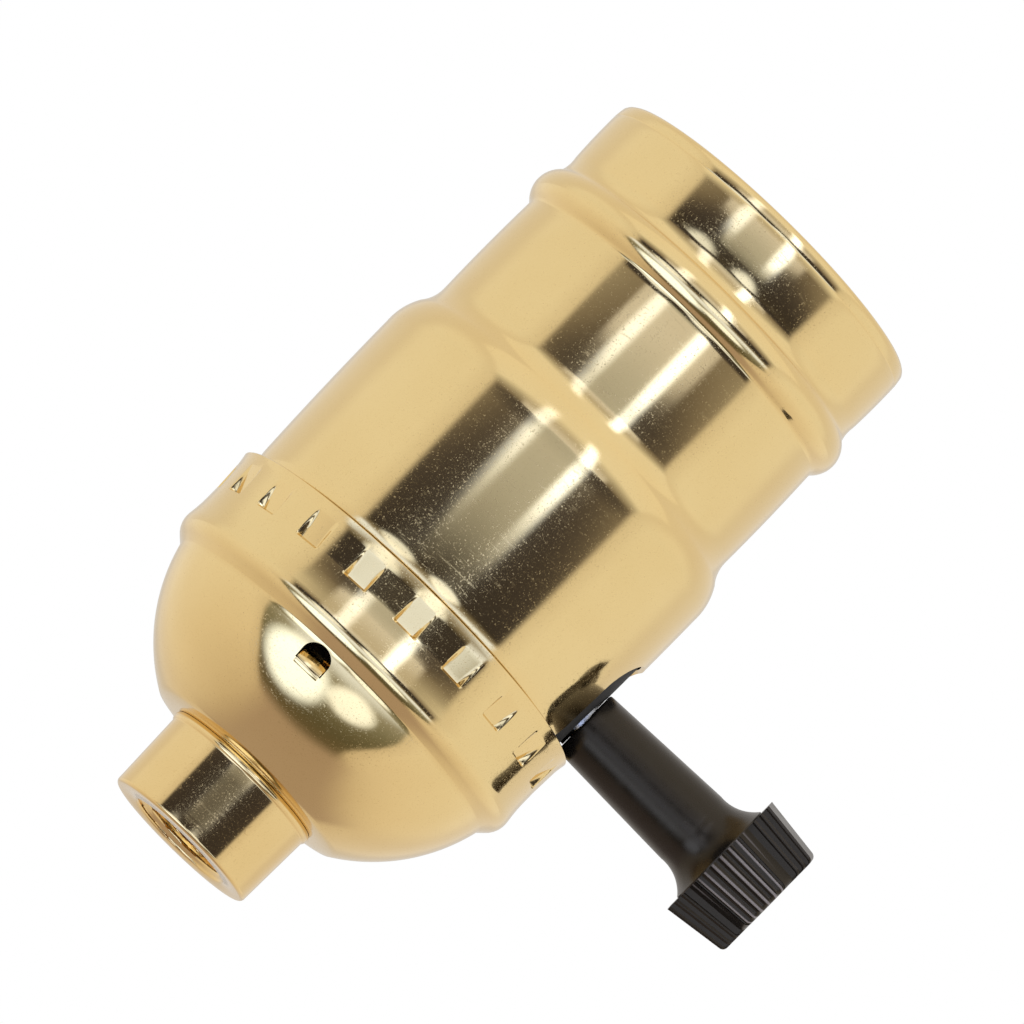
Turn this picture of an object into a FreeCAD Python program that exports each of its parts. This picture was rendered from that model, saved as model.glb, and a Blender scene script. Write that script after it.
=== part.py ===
"""Lamp holder with a side turn-knob switch, for medium screw-base lamps.

A drawn brass cap with a threaded hub, a drawn brass shell that snaps into it,
and a moulded switch body that carries the lamp's screw shell. Millimetres.
The origin is the centre of the hub's entry face. +Z runs along the socket to
the lamp's mouth, and +X runs along the switch shaft to the knob.
"""
import FreeCAD, Part
import math
import os

V = FreeCAD.Vector
ORIGIN = V(0, 0, 0)
Z_AXIS = V(0, 0, 1)
X_AXIS = V(1, 0, 0)
Y_AXIS = V(0, 1, 0)

# ---- sheet gauges and fits ----
CAP_GAUGE = 0.45            # brass sheet of the cap
SHELL_GAUGE = 0.40          # brass sheet of the outer shell
LINER_GAUGE = 0.50          # fibre liner
SCREW_GAUGE = 0.35          # aluminium sheet of the screw shell
TERMINAL_GAUGE = 0.80       # terminal plates
BLADE_GAUGE = 0.40          # switch blades, straps and the lamp contact
LINER_GAP = 0.08            # liner to shell
RUN_GAP = 0.05              # switch shaft in its bearings, on the radius
SEAT_GAP = 0.05             # pieces that only sit in one another
MOVE_GAP = 0.30             # free gap beside whatever moves

# ---- outer shell, from its foot inside the cap to the lamp's mouth ----
BARREL_R = 18.12            # outside of the barrel at its lower end
BARREL_TAPER = 0.31         # how much wider the barrel is at its top
NECKED_R = BARREL_R - 0.32  # stretch that the cap's dimples close on
SHELL_FOOT_R = NECKED_R + 0.10
SNAP_R = NECKED_R + 0.45    # bead that snaps under the dimples
SNAP_HALF = 0.75
BARREL_TOP_R = BARREL_R + BARREL_TAPER
THROAT_LOW_R = BARREL_R - 1.24
THROAT_TOP_R = THROAT_LOW_R - 0.10
SHOULDER_MID_R = (BARREL_TOP_R + THROAT_LOW_R) / 2
BEAD_R = THROAT_TOP_R + 0.94
COLLAR_FOOT_R = THROAT_TOP_R - 0.16
MOUTH_R = THROAT_TOP_R - 0.02
LIP_CORNER_R = MOUTH_R - 0.14
LIP_R = MOUTH_R - 0.96      # inner edge of the curled lip
SLOT_HALF = 6.75            # opening for the knob, from its middle
SLOT_CORNER = 4.40          # its rounded upper corners

# ---- hub and its thread ----
HUB_R = 7.65
HUB_LENGTH = 7.20
HUB_EDGE = 0.35             # rounding of the entry edge
HUB_BORE_R = 4.76           # pitch radius of the 1/8 in pipe thread
HUB_BORE_CHAMFER = 0.30
COLLAR_R = HUB_R + 0.20
COLLAR_HEIGHT = 0.80
NECK_R = HUB_BORE_R + 1.54
FLARE_R = NECK_R + 1.10     # peened edge inside the cap
FLARE_HEIGHT = 0.75
CROWN_Z = HUB_LENGTH + COLLAR_HEIGHT    # outer face of the cap's crown

# ---- cap ----
SKIRT_R = NECKED_R + CAP_GAUGE + 0.60
BULGE_R = SKIRT_R + 0.17
RIM_R = SKIRT_R + 0.26
EAVE_R = SKIRT_R - 0.35     # outer end of the slope over the hollow crease
DOME_FOOT_R = SKIRT_R - 1.11
DOME_MID_R = DOME_FOOT_R - 2.82
DOME_SHOULDER_R = HUB_R + 2.63      # end of the flat crown, start of the dome's side
DOME_SHOULDER_RISE = 0.28
DOME_HEIGHT = 10.57
DOME_MID_Z = CROWN_Z + DOME_HEIGHT * 0.43
DOME_FOOT_Z = CROWN_Z + DOME_HEIGHT
EAVE_Z = DOME_FOOT_Z + 0.80
BULGE_Z = EAVE_Z + 1.05
SKIRT_Z = BULGE_Z + 1.18
SKIRT_HEIGHT = 5.35         # plain stretch that holds the dimples
RIM_FLARE = 1.00            # height over which the rim flares out
CAP_TOP = SKIRT_Z + SKIRT_HEIGHT + RIM_FLARE
DIMPLE_COUNT = 20
DIMPLE_PHASE = -86.6        # degrees about +Z from +X
DIMPLE_WIDTH = 2.60
DIMPLE_HEIGHT = 3.10
DIMPLE_LOW = SKIRT_Z + SKIRT_HEIGHT - DIMPLE_HEIGHT - SEAT_GAP
DIMPLE_DEPTH = 0.55
KEYHOLE_ANGLE = -98.5       # degrees about +Z from +X
KEYHOLE_WIDTH = 2.90
KEYHOLE_HEIGHT = 2.20
KEYHOLE_Z = DOME_FOOT_Z - KEYHOLE_HEIGHT / 2 - 0.12
KEYHOLE_SPRING = 0.25       # centre of its round top above its middle
TONGUE_TILT = 34.0
TONGUE_LENGTH = 1.75

# ---- heights of the shell ----
FLANGE_LOW = DOME_FOOT_Z + 0.45     # moulded base flange, between cap and shell
FLANGE_HEIGHT = 2.40
SHELL_FOOT = FLANGE_LOW + FLANGE_HEIGHT + MOVE_GAP
SNAP_Z = SHELL_FOOT + 1.10
NECKED_TOP = CAP_TOP - 0.65
BARREL_LOW_Z = CAP_TOP + 0.25
BARREL_LENGTH = 16.80
BARREL_TOP = BARREL_LOW_Z + BARREL_LENGTH
SHOULDER_HEIGHT = 4.60
SHOULDER_MID_Z = BARREL_TOP + SHOULDER_HEIGHT * 0.61
THROAT_LENGTH = 11.30
BEAD_LOW = BARREL_TOP + SHOULDER_HEIGHT + THROAT_LENGTH
BEAD_HEIGHT = 3.80
COLLAR_FOOT_RISE = 1.20
MOUTH_RISE = 5.90           # bead to the widest part of the mouth collar
COLLAR_HEIGHT_TOP = 8.00    # bead to the rim
SHELL_TOP = BEAD_LOW + BEAD_HEIGHT + COLLAR_HEIGHT_TOP
LIP_DEPTH = 0.70

# ---- knob ----
KNOB_ANGLE = 17.0           # degrees about +X where the knob screws up tight
STEM_BASE_R = 3.30
STEM_NECK_R = STEM_BASE_R + 0.40
STEM_FLARE_R = STEM_NECK_R + 1.45
KNOB_BASE_X = BARREL_R - 0.34
STEM_LENGTH = 16.27
STEM_FILLET = 3.45          # length of the flare under the grip
HEAD_X = KNOB_BASE_X + STEM_LENGTH
STEM_FILLET_X = HEAD_X - STEM_FILLET
HEAD_LENGTH = 6.00
HEAD_HALF_BACK = 6.30
HEAD_TAPER = 0.12           # share that the head narrows by at its front
WING_HALF_THICK = 1.50
BULGE_FACE = 3.45           # half thickness at the grip's middle
FACET_OUT = 3.55
FACET_IN = 2.75
FACET_DEPTH = 2.35
FLUTE_PITCH = 16.5          # degrees
FLUTE_COUNT = 6
FLUTE_R = 0.28
RIB_PITCH = 0.95
RIB_COUNT = 3
RIB_R = 0.16
SWITCH_Z = CAP_TOP + STEM_BASE_R + 0.52     # the stem clears the cap's rim
SLOT_TOP = SWITCH_Z + SLOT_HALF

# ---- switch shaft and mechanism ----
SHAFT_R = 1.70
ROTOR_HALF = SHAFT_R + 1.80
ROTOR_CORNER = 1.20
ROTOR_START = -4.60
ROTOR_LENGTH = 8.60
ROTOR_END = ROTOR_START + ROTOR_LENGTH
WASHER_THICK = 0.55
WASHER_R = SHAFT_R + 1.20
CAVITY_HALF_X = ROTOR_END + WASHER_THICK + 0.25
SHAFT_TAIL = -CAVITY_HALF_X - 2.80
KNOB_GRIP = 9.10            # length of the shaft inside the knob
SHAFT_TIP = KNOB_BASE_X + KNOB_GRIP
KNOB_BORE_END = 1.00        # free depth past the shaft's tip
FERRULE_R = SHAFT_R + 0.90
FERRULE_FLANGE_R = FERRULE_R + 1.00
FERRULE_FLANGE = 0.80
FERRULE_START = CAVITY_HALF_X + 1.20
CLIP_HALF_WIDTH = 1.50
CLIP_CORNER = 1.50
BUTTON_REACH = ROTOR_HALF + 1.50    # rotor contact's height above the shaft axis
BUTTON_R = 0.95
CAVITY_HALF_Y = BUTTON_REACH + 0.40
DETENT_GAUGE = 0.25
DETENT_HALF_SPAN = ROTOR_HALF + 1.70
DETENT_HALF_WIDTH = 0.90
DETENT_X = ROTOR_END - DETENT_HALF_WIDTH - 0.20

# ---- moulded body and cover ----
FLANGE_R = SKIRT_R - CAP_GAUGE - 1.08
BODY_R = NECKED_R - SHELL_GAUGE - LINER_GAP - LINER_GAUGE - 1.52
TERMINAL_LOW = SWITCH_Z - BUTTON_REACH - MOVE_GAP - BLADE_GAUGE + SEAT_GAP   # cavity floor
BODY_TOP = SWITCH_Z + BUTTON_REACH + MOVE_GAP + BLADE_GAUGE + 3.90
BODY_FLAT = BODY_R - 3.10   # flats that carry the terminals, from the axis
FERRULE_SEAT_X = BODY_R - 1.80      # flat that the ferrule's flange lies on
COVER_R = BODY_R - 0.10
COVER_HEIGHT = 4.00
BOSS_R = 5.60
BOSS_HEIGHT = 2.40
COVER_TOP = BODY_TOP + COVER_HEIGHT
BOSS_TOP = COVER_TOP + BOSS_HEIGHT

# ---- terminals ----
TERMINAL_HALF_WIDTH = 3.50
TERMINAL_HEIGHT = 8.20
SCREW_HEAD_R = 3.20
SCREW_HEAD = 1.80
SCREW_SLOT = 0.80
SCREW_SHANK_R = 1.50
SCREW_SHANK = 5.60
TERMINAL_SCREW_Z = TERMINAL_LOW + SCREW_HEAD_R + 1.25
STRAP_HALF_WIDTH = 2.00

# ---- lamp thread ----
THREAD_PITCH = 3.629        # seven turns to the inch
THREAD_CREST_R = 13.20      # inside the rolled crest
THREAD_DEPTH = 0.85
THREAD_ROOT_R = THREAD_CREST_R - THREAD_DEPTH
CREST_ROUND = 1.25
THREAD_TURNS = 5.5
THREAD_RISE = 3.30          # screw shell's floor to the thread's first turn
SCREW_SHELL_HEIGHT = 25.0
FLOOR_ROUND = 0.80
MOUTH_FLARE = 0.80
FLOOR_Z = COVER_TOP + BLADE_GAUGE           # underside of the screw shell's floor
INSULATION_GAP = 0.60       # boss to the screw shell's floor
FIBRE_R = THREAD_ROOT_R - 1.05
FIBRE_THICK = 0.80

# ---- rivets ----
RIVET_CIRCLE = 9.70
RIVET_ANGLES = (45.0, 225.0)
RIVET_R = 1.10
RIVET_HEAD_R = 1.80
RIVET_HEAD = 0.80
BLADE_RIVET_R = 0.90
BLADE_RIVET_HEAD_R = 1.45
BLADE_RIVET_HEAD = 0.40
BLADE_RIVET_X = 1.50
LOAD_LEG_X = 3.00

# ---- lamp contact ----
CONTACT_HALF_WIDTH = 2.70
CONTACT_ROOT_X = -4.20
CONTACT_RISE_ANGLE = 22.0
CONTACT_REACH = 6.60
CONTACT_CURL_R = 0.90
CONTACT_CURL_DROP = 0.30
CONTACT_TAIL = 4.00
CONTACT_SWING = 10.0        # degrees that a lamp can press it down
CONTACT_LIFT = 0.35         # root bend above the boss


def point(radius, height):
    return V(radius, 0, height)


def section_wire(start, *steps):
    """Open wire in the XZ plane: a step is an end point, or (middle, end) of an arc."""
    here = point(*start)
    edges = []
    for step in steps:
        if isinstance(step[0], tuple):
            middle, there = point(*step[0]), point(*step[1])
            edges.append(Part.Arc(here, middle, there).toShape())
        else:
            there = point(*step)
            edges.append(Part.LineSegment(here, there).toShape())
        here = there
    return Part.Wire(edges)


def spun(face):
    return face.revolve(ORIGIN, Z_AXIS, 360)


def spun_band(wire, gauge):
    """Sheet of one gauge on the inner side of an outline, turned about Z."""
    return spun(wire.makeOffset2D(gauge, 0, True, True))


def spun_outline(*points):
    corners = [point(*p) for p in points]
    return spun(Part.Face(Part.makePolygon(corners + corners[:1])))


def block(x0, x1, y0, y1, z0, z1):
    return Part.makeBox(x1 - x0, y1 - y0, z1 - z0, V(x0, y0, z0))


def rod(radius, start, end, axis):
    """Cylinder between two values of one axis, through the point set by move()."""
    return Part.makeCylinder(radius, end - start, axis * start, axis)


def at_switch(shape):
    return shape.translated(V(0, 0, SWITCH_Z))


def at_rivets(shape):
    copies = []
    for angle in RIVET_ANGLES:
        turn = math.radians(angle)
        centre = V(RIVET_CIRCLE * math.cos(turn), RIVET_CIRCLE * math.sin(turn), 0)
        copies.append(shape.translated(centre))
    return copies


# ---------------------------------------------------------------- cap and hub

def cap_wall():
    """Drawn dome, crease, bulge, skirt and flared rim, in one gauge."""
    outline = section_wire(
        (NECK_R + SEAT_GAP, CROWN_Z),
        (HUB_R + HUB_EDGE, CROWN_Z),
        ((DOME_SHOULDER_R - 1.09, CROWN_Z + 0.08), (DOME_SHOULDER_R, CROWN_Z + DOME_SHOULDER_RISE)),
        ((DOME_MID_R, DOME_MID_Z), (DOME_FOOT_R, DOME_FOOT_Z)),
        (EAVE_R, EAVE_Z),
        ((EAVE_R + 0.34, EAVE_Z + 0.47), (BULGE_R - 0.02, BULGE_Z - 0.35)),
        ((BULGE_R, BULGE_Z), (BULGE_R - 0.02, BULGE_Z + 0.45)),
        (SKIRT_R, SKIRT_Z),
        (SKIRT_R, CAP_TOP - RIM_FLARE),
        (RIM_R - 0.06, CAP_TOP - RIM_FLARE * 0.4),
        (RIM_R, CAP_TOP),
    )
    return spun_band(outline, CAP_GAUGE)


def dimple_wedge(face_r, extra):
    """Wedge on the +X side: no depth at the top, full depth at its lower edge."""
    low, top = DIMPLE_LOW, DIMPLE_LOW + DIMPLE_HEIGHT
    corners = [
        point(face_r + extra, low),
        point(face_r - DIMPLE_DEPTH, low),
        point(face_r, top),
        point(face_r + extra, top),
    ]
    profile = Part.Face(Part.makePolygon(corners + corners[:1]))
    return profile.extrude(V(0, DIMPLE_WIDTH, 0)).translated(V(0, -DIMPLE_WIDTH / 2, 0))


def dimple_set(wedge):
    step = 360.0 / DIMPLE_COUNT
    return [wedge.rotated(ORIGIN, Z_AXIS, DIMPLE_PHASE + step * k) for k in range(DIMPLE_COUNT)]


def keyhole_cutter():
    """Bar along +X with a flat foot and a round top, long enough to pass the wall."""
    start, length = DOME_FOOT_R - 4.0, 6.0
    half = KEYHOLE_WIDTH / 2
    low, spring = KEYHOLE_Z - KEYHOLE_HEIGHT / 2, KEYHOLE_Z + KEYHOLE_SPRING
    opening = block(start, start + length, -half, half, low, spring)
    opening = opening.fuse(Part.makeCylinder(half, length, V(start, 0, spring), X_AXIS))
    return opening.common(block(start, start + length, -half, half, low, low + KEYHOLE_HEIGHT))


def keyhole_tongue():
    """Tongue pressed in from the lower edge of the keyhole."""
    root_r = DOME_FOOT_R - 1.24
    low = KEYHOLE_Z - KEYHOLE_HEIGHT / 2
    half = KEYHOLE_WIDTH / 2 - 0.15
    tongue = block(root_r, root_r + CAP_GAUGE, -half, half, low - 0.25, low + TONGUE_LENGTH)
    return tongue.rotated(V(root_r, 0, low), Y_AXIS, -TONGUE_TILT)


def make_cap():
    wall = cap_wall()
    bumps = dimple_set(dimple_wedge(SKIRT_R - CAP_GAUGE + SEAT_GAP, CAP_GAUGE / 2))
    wall = wall.fuse(bumps)
    wall = wall.cut(dimple_set(dimple_wedge(SKIRT_R, 1.0)))
    cutter = keyhole_cutter().rotated(ORIGIN, Z_AXIS, KEYHOLE_ANGLE)
    tongue = keyhole_tongue().rotated(ORIGIN, Z_AXIS, KEYHOLE_ANGLE)
    return wall.cut(cutter).fuse(tongue).removeSplitter()


def make_cap_bushing():
    """Threaded hub, its collar against the crown, and the edge peened inside."""
    inner_top = CROWN_Z + CAP_GAUGE + FLARE_HEIGHT
    chamfer = HUB_BORE_CHAMFER
    hub = spun_outline(
        (HUB_BORE_R + chamfer, 0),
        (HUB_R, 0),
        (HUB_R, HUB_LENGTH),
        (COLLAR_R, HUB_LENGTH),
        (COLLAR_R, CROWN_Z),
        (NECK_R, CROWN_Z),
        (NECK_R, CROWN_Z + CAP_GAUGE),
        (FLARE_R, CROWN_Z + CAP_GAUGE),
        (FLARE_R - 0.35, inner_top),
        (HUB_BORE_R + chamfer, inner_top),
        (HUB_BORE_R, inner_top - chamfer),
        (HUB_BORE_R, chamfer),
    )
    rounded = [e for e in hub.Edges if abs(e.BoundBox.ZMax) < 1e-6 and e.BoundBox.XMax > HUB_R - 1e-6]
    return hub.makeFillet(HUB_EDGE, rounded)


# ------------------------------------------------------------ shell and liner

def barrel_steps(inset):
    """Outline of neck, barrel and shoulder up to the throat, set in by `inset`."""
    shoulder_top = BARREL_TOP + SHOULDER_HEIGHT
    return [
        (NECKED_R - inset, NECKED_TOP),
        (BARREL_R - inset, BARREL_LOW_Z),
        (BARREL_TOP_R - inset, BARREL_TOP - inset * 0.4),
        ((SHOULDER_MID_R + 0.62 - inset, SHOULDER_MID_Z - 1.10 - inset * 0.4),
         (SHOULDER_MID_R - inset, SHOULDER_MID_Z - inset * 0.4)),
        ((SHOULDER_MID_R - 0.55 - inset, SHOULDER_MID_Z + 0.72 - inset * 0.4),
         (THROAT_LOW_R - inset, shoulder_top)),
    ]


def make_outer_shell():
    bead_top = BEAD_LOW + BEAD_HEIGHT
    foot = [
        (SHELL_FOOT_R, SNAP_Z - SNAP_HALF),
        ((SNAP_R, SNAP_Z), (SHELL_FOOT_R, SNAP_Z + SNAP_HALF)),
        (NECKED_R, SNAP_Z + SNAP_HALF + 0.5),
    ]
    collar_foot = bead_top + COLLAR_FOOT_RISE
    mouth = bead_top + MOUTH_RISE
    upper = [
        (THROAT_TOP_R, BEAD_LOW),
        ((BEAD_R, (BEAD_LOW + bead_top) / 2), (THROAT_TOP_R + 0.05, bead_top)),
        ((COLLAR_FOOT_R + 0.04, bead_top + 0.35), (COLLAR_FOOT_R, collar_foot)),
        (MOUTH_R, mouth),
        (LIP_CORNER_R, SHELL_TOP - LIP_DEPTH),
        ((LIP_CORNER_R - 0.22, SHELL_TOP - 0.18), (LIP_R, SHELL_TOP)),
    ]
    outline = section_wire((SHELL_FOOT_R, SHELL_FOOT), *(foot + barrel_steps(0.0) + upper))
    return spun_band(outline, SHELL_GAUGE).cut(knob_slot(SLOT_HALF, SLOT_CORNER, SLOT_TOP))


def knob_slot(half_width, corner, top):
    """Opening on the +X side from the lower edge up, with rounded upper corners."""
    start, end = BODY_R * 0.5, BARREL_TOP_R + 1.0
    slot = block(start, end, -half_width, half_width, SHELL_FOOT - 1.0, top)
    corners = [e for e in slot.Edges if e.BoundBox.XLength > 1.0 and e.BoundBox.ZMin > top - 0.1]
    return slot.makeFillet(corner, corners)


def make_shell_liner():
    """Fibre sleeve inside the shell up to the mouth lip, slotted for the ferrule."""
    half = FERRULE_R + MOVE_GAP
    inset = SHELL_GAUGE + LINER_GAP
    top = SHELL_TOP - LIP_DEPTH - SHELL_GAUGE
    throat = THROAT_TOP_R - inset - 0.15
    outline = section_wire((NECKED_R - inset, SHELL_FOOT),
                           *(barrel_steps(inset) + [(throat, BEAD_LOW), (throat, top)]))
    return spun_band(outline, LINER_GAUGE).cut(knob_slot(half, half * 0.98, SWITCH_Z + half))


# --------------------------------------------------- moulded body and its cover

def rivet_holes(start, end):
    return at_rivets(Part.makeCylinder(RIVET_R + SEAT_GAP, end - start, V(0, 0, start)))


def make_switch_body():
    """Moulded insulator: base flange, terminal flats, switch cavity and bearings."""
    flange = Part.makeCylinder(FLANGE_R, FLANGE_HEIGHT, V(0, 0, FLANGE_LOW))
    drum = Part.makeCylinder(BODY_R, BODY_TOP - FLANGE_LOW, V(0, 0, FLANGE_LOW))
    for side in (1, -1):
        y0, y1 = sorted((side * BODY_FLAT, side * (BODY_R + 1.0)))
        drum = drum.cut(block(-BODY_R, BODY_R, y0, y1, FLANGE_LOW + FLANGE_HEIGHT, BODY_TOP))
    body = flange.fuse(drum)
    body = body.cut(block(-CAVITY_HALF_X, CAVITY_HALF_X, -CAVITY_HALF_Y, CAVITY_HALF_Y,
                          TERMINAL_LOW, BODY_TOP))
    body = body.cut(block(FERRULE_SEAT_X, BODY_R + 1.0, -BODY_R, BODY_R,
                          FLANGE_LOW + FLANGE_HEIGHT, BODY_TOP))
    body = body.cut([
        at_switch(rod(SHAFT_R + RUN_GAP, SHAFT_TAIL - 0.4, 0, X_AXIS)),
        at_switch(rod(FERRULE_R, 0, BODY_R, X_AXIS)),
        block(-CLIP_HALF_WIDTH - SEAT_GAP, CLIP_HALF_WIDTH + SEAT_GAP, -BODY_R, 0,
              TERMINAL_LOW, TERMINAL_LOW + BLADE_GAUGE + SEAT_GAP),
        detent_grooves(),
    ])
    body = body.cut([terminal_screw_hole(1), terminal_screw_hole(-1)])
    body = body.cut(wire_notches())
    return body.cut(rivet_holes(FLANGE_LOW, BODY_TOP))


def wire_notches():
    """Two notches in the base flange where the supply wires come up."""
    half = 2.2
    return [block(-half, half, FLANGE_R - 3.0, FLANGE_R + 1.0, FLANGE_LOW, FLANGE_LOW + FLANGE_HEIGHT),
            block(-half, half, -FLANGE_R - 1.0, 3.0 - FLANGE_R, FLANGE_LOW, FLANGE_LOW + FLANGE_HEIGHT)]


def detent_grooves():
    half = DETENT_HALF_SPAN + SEAT_GAP
    wide = DETENT_HALF_WIDTH + SEAT_GAP
    return block(DETENT_X - wide, DETENT_X + wide, CAVITY_HALF_Y - 0.1, CAVITY_HALF_Y + 0.5,
                 SWITCH_Z - half, SWITCH_Z + half)


def terminal_screw_hole(side):
    depth = SCREW_SHANK - TERMINAL_GAUGE + MOVE_GAP
    hole = rod(SCREW_SHANK_R, BODY_FLAT - depth, BODY_R, Y_AXIS)
    hole = hole.translated(V(0, 0, TERMINAL_SCREW_Z))
    return hole if side > 0 else hole.rotated(ORIGIN, Z_AXIS, 180)


def contact_pocket():
    """Blind slot in the boss for the lamp contact's hooked tail and its swing."""
    swing = (CONTACT_TAIL + 0.4) * math.sin(math.radians(CONTACT_SWING))
    half = CONTACT_HALF_WIDTH + 0.15
    outer = CONTACT_ROOT_X - BLADE_GAUGE / 2 - swing - 0.15
    inner = CONTACT_ROOT_X + BLADE_GAUGE * 1.5 + 2 * SEAT_GAP
    return block(outer, inner, -half, half, BODY_TOP, BOSS_TOP)


def make_body_cover():
    """Moulded disc that closes the switch, with the boss for the lamp contact."""
    disc = Part.makeCylinder(COVER_R, COVER_HEIGHT, V(0, 0, BODY_TOP))
    boss = Part.makeCylinder(BOSS_R, BOSS_HEIGHT, V(0, 0, COVER_TOP))
    cover = disc.fuse(boss)
    strap = STRAP_HALF_WIDTH + 0.2
    cover = cover.cut(block(-strap, strap, BODY_FLAT - SEAT_GAP, COVER_R + 1.0, BODY_TOP, COVER_TOP))
    bore = Part.makeCylinder(BLADE_RIVET_R + SEAT_GAP, BOSS_TOP - BODY_TOP, V(BLADE_RIVET_X, 0, BODY_TOP))
    return cover.cut([contact_pocket(), bore] + rivet_holes(BODY_TOP, COVER_TOP))


# -------------------------------------------------- screw shell, fibre, rivets

def thread_ridge(core_r, crest_r, crest_round, low, turns):
    """Rounded helical ridge that rolls out of a core cylinder."""
    centre_r = crest_r - crest_round
    helix = Part.makeHelix(THREAD_PITCH, THREAD_PITCH * turns, centre_r)
    ring = Part.Wire([Part.Circle(V(centre_r, 0, 0), Y_AXIS, crest_round).toShape()])
    ridge = Part.Wire(helix.Edges).makePipeShell([ring], True, True)
    return ridge.translated(V(0, 0, low))


def make_screw_shell():
    """Rolled lamp thread in one gauge, with a floor and a flared mouth."""
    top = FLOOR_Z + SCREW_SHELL_HEIGHT
    low = FLOOR_Z + THREAD_RISE
    outer_r = THREAD_ROOT_R + SCREW_GAUGE
    flare = MOUTH_FLARE
    outer = spun_outline((0, FLOOR_Z), (outer_r - FLOOR_ROUND, FLOOR_Z), (outer_r, FLOOR_Z + FLOOR_ROUND),
                         (outer_r, top - 2 * flare), (outer_r + flare, top - flare),
                         (outer_r + flare, top), (0, top))
    inner = spun_outline((0, FLOOR_Z + SCREW_GAUGE), (THREAD_ROOT_R - FLOOR_ROUND, FLOOR_Z + SCREW_GAUGE),
                         (THREAD_ROOT_R, FLOOR_Z + FLOOR_ROUND + SCREW_GAUGE),
                         (THREAD_ROOT_R, top - 2 * flare + 0.1),
                         (THREAD_ROOT_R + flare, top - flare + 0.1),
                         (THREAD_ROOT_R + flare, top + 1.0), (0, top + 1.0))
    outer = outer.fuse(thread_ridge(outer_r, THREAD_CREST_R + SCREW_GAUGE,
                                    CREST_ROUND + SCREW_GAUGE, low, THREAD_TURNS))
    inner = inner.fuse(thread_ridge(THREAD_ROOT_R, THREAD_CREST_R, CREST_ROUND, low, THREAD_TURNS))
    shell = outer.cut(inner)
    shell = shell.cut(Part.makeCylinder(BOSS_R + INSULATION_GAP, 3.0, V(0, 0, FLOOR_Z - 1.0)))
    return shell.cut(rivet_holes(FLOOR_Z - 1.0, FLOOR_Z + 1.0))


def make_fibre_washer():
    low = FLOOR_Z + SCREW_GAUGE
    washer = Part.makeCylinder(FIBRE_R, FIBRE_THICK, V(0, 0, low))
    washer = washer.cut(Part.makeCylinder(BOSS_R + SEAT_GAP, FIBRE_THICK, V(0, 0, low)))
    clear = Part.makeCylinder(RIVET_HEAD_R + 0.15, FIBRE_THICK, V(0, 0, low))
    return washer.cut(at_rivets(clear))


def make_shell_rivets():
    """Two long rivets from the screw shell's floor to the underside of the body."""
    top = FLOOR_Z + SCREW_GAUGE
    shank = Part.makeCylinder(RIVET_R, top - FLANGE_LOW, V(0, 0, FLANGE_LOW))
    head = Part.makeCone(RIVET_HEAD_R, RIVET_R, RIVET_HEAD, V(0, 0, top))
    tail = Part.makeCone(RIVET_R, RIVET_HEAD_R, RIVET_HEAD, V(0, 0, FLANGE_LOW - RIVET_HEAD))
    return Part.makeCompound(at_rivets(shank.fuse([head, tail])))


# ------------------------------------------------------------------- terminals

def terminal_plate(side):
    half = TERMINAL_HALF_WIDTH
    plate = block(-half, half, BODY_FLAT, BODY_FLAT + TERMINAL_GAUGE,
                  TERMINAL_LOW, TERMINAL_LOW + TERMINAL_HEIGHT)
    hole = rod(SCREW_SHANK_R + SEAT_GAP, 0, BODY_R, Y_AXIS).translated(V(0, 0, TERMINAL_SCREW_Z))
    plate = plate.cut(hole)
    return plate if side > 0 else plate.rotated(ORIGIN, Z_AXIS, 180)


def make_hot_terminal():
    """Plate on the body's flat, folded in under the switch rotor as the feed blade."""
    half = CLIP_HALF_WIDTH
    blade = block(-half, half, -BODY_FLAT - TERMINAL_GAUGE / 2, BUTTON_R + 1.0,
                  TERMINAL_LOW, TERMINAL_LOW + BLADE_GAUGE)
    return terminal_plate(-1).fuse(blade).removeSplitter()


def make_neutral_terminal():
    """Plate with a strap up the side and a foot clamped under the screw shell."""
    outer = BODY_FLAT + TERMINAL_GAUGE
    half = STRAP_HALF_WIDTH
    strap = block(-half, half, BODY_FLAT, outer, TERMINAL_LOW + TERMINAL_HEIGHT, FLOOR_Z)
    rivet = RIVET_CIRCLE * math.sqrt(0.5)
    foot = block(-half, half * 2, BOSS_R + 0.7, outer, COVER_TOP, FLOOR_Z)
    ear = block(half * 2 - 1.0, rivet + RIVET_HEAD_R, rivet - RIVET_HEAD_R, rivet + RIVET_HEAD_R,
                COVER_TOP, FLOOR_Z)
    blank = terminal_plate(1).fuse([strap, foot, ear])
    return blank.cut(rivet_holes(COVER_TOP - 1.0, FLOOR_Z + 1.0)).removeSplitter()


def make_terminal_screw(side):
    """Slotted binding-head screw; the thread is a plain shank of its outer size."""
    seat = BODY_FLAT + TERMINAL_GAUGE
    head = rod(SCREW_HEAD_R, seat, seat + SCREW_HEAD, Y_AXIS)
    slot = block(-SCREW_HEAD_R, SCREW_HEAD_R, seat + SCREW_HEAD * 0.5, seat + SCREW_HEAD,
                 -SCREW_SLOT / 2, SCREW_SLOT / 2)
    shank = rod(SCREW_SHANK_R - SEAT_GAP, seat - SCREW_SHANK, seat, Y_AXIS)
    edge = [e for e in head.Edges if e.BoundBox.YMin > seat + SCREW_HEAD - 1e-6]
    screw = head.makeFillet(0.4, edge).cut(slot).fuse(shank)
    screw = screw.translated(V(0, 0, TERMINAL_SCREW_Z))
    return screw if side > 0 else screw.rotated(ORIGIN, Z_AXIS, 180)


# ------------------------------------------------------------ switch mechanism

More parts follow.
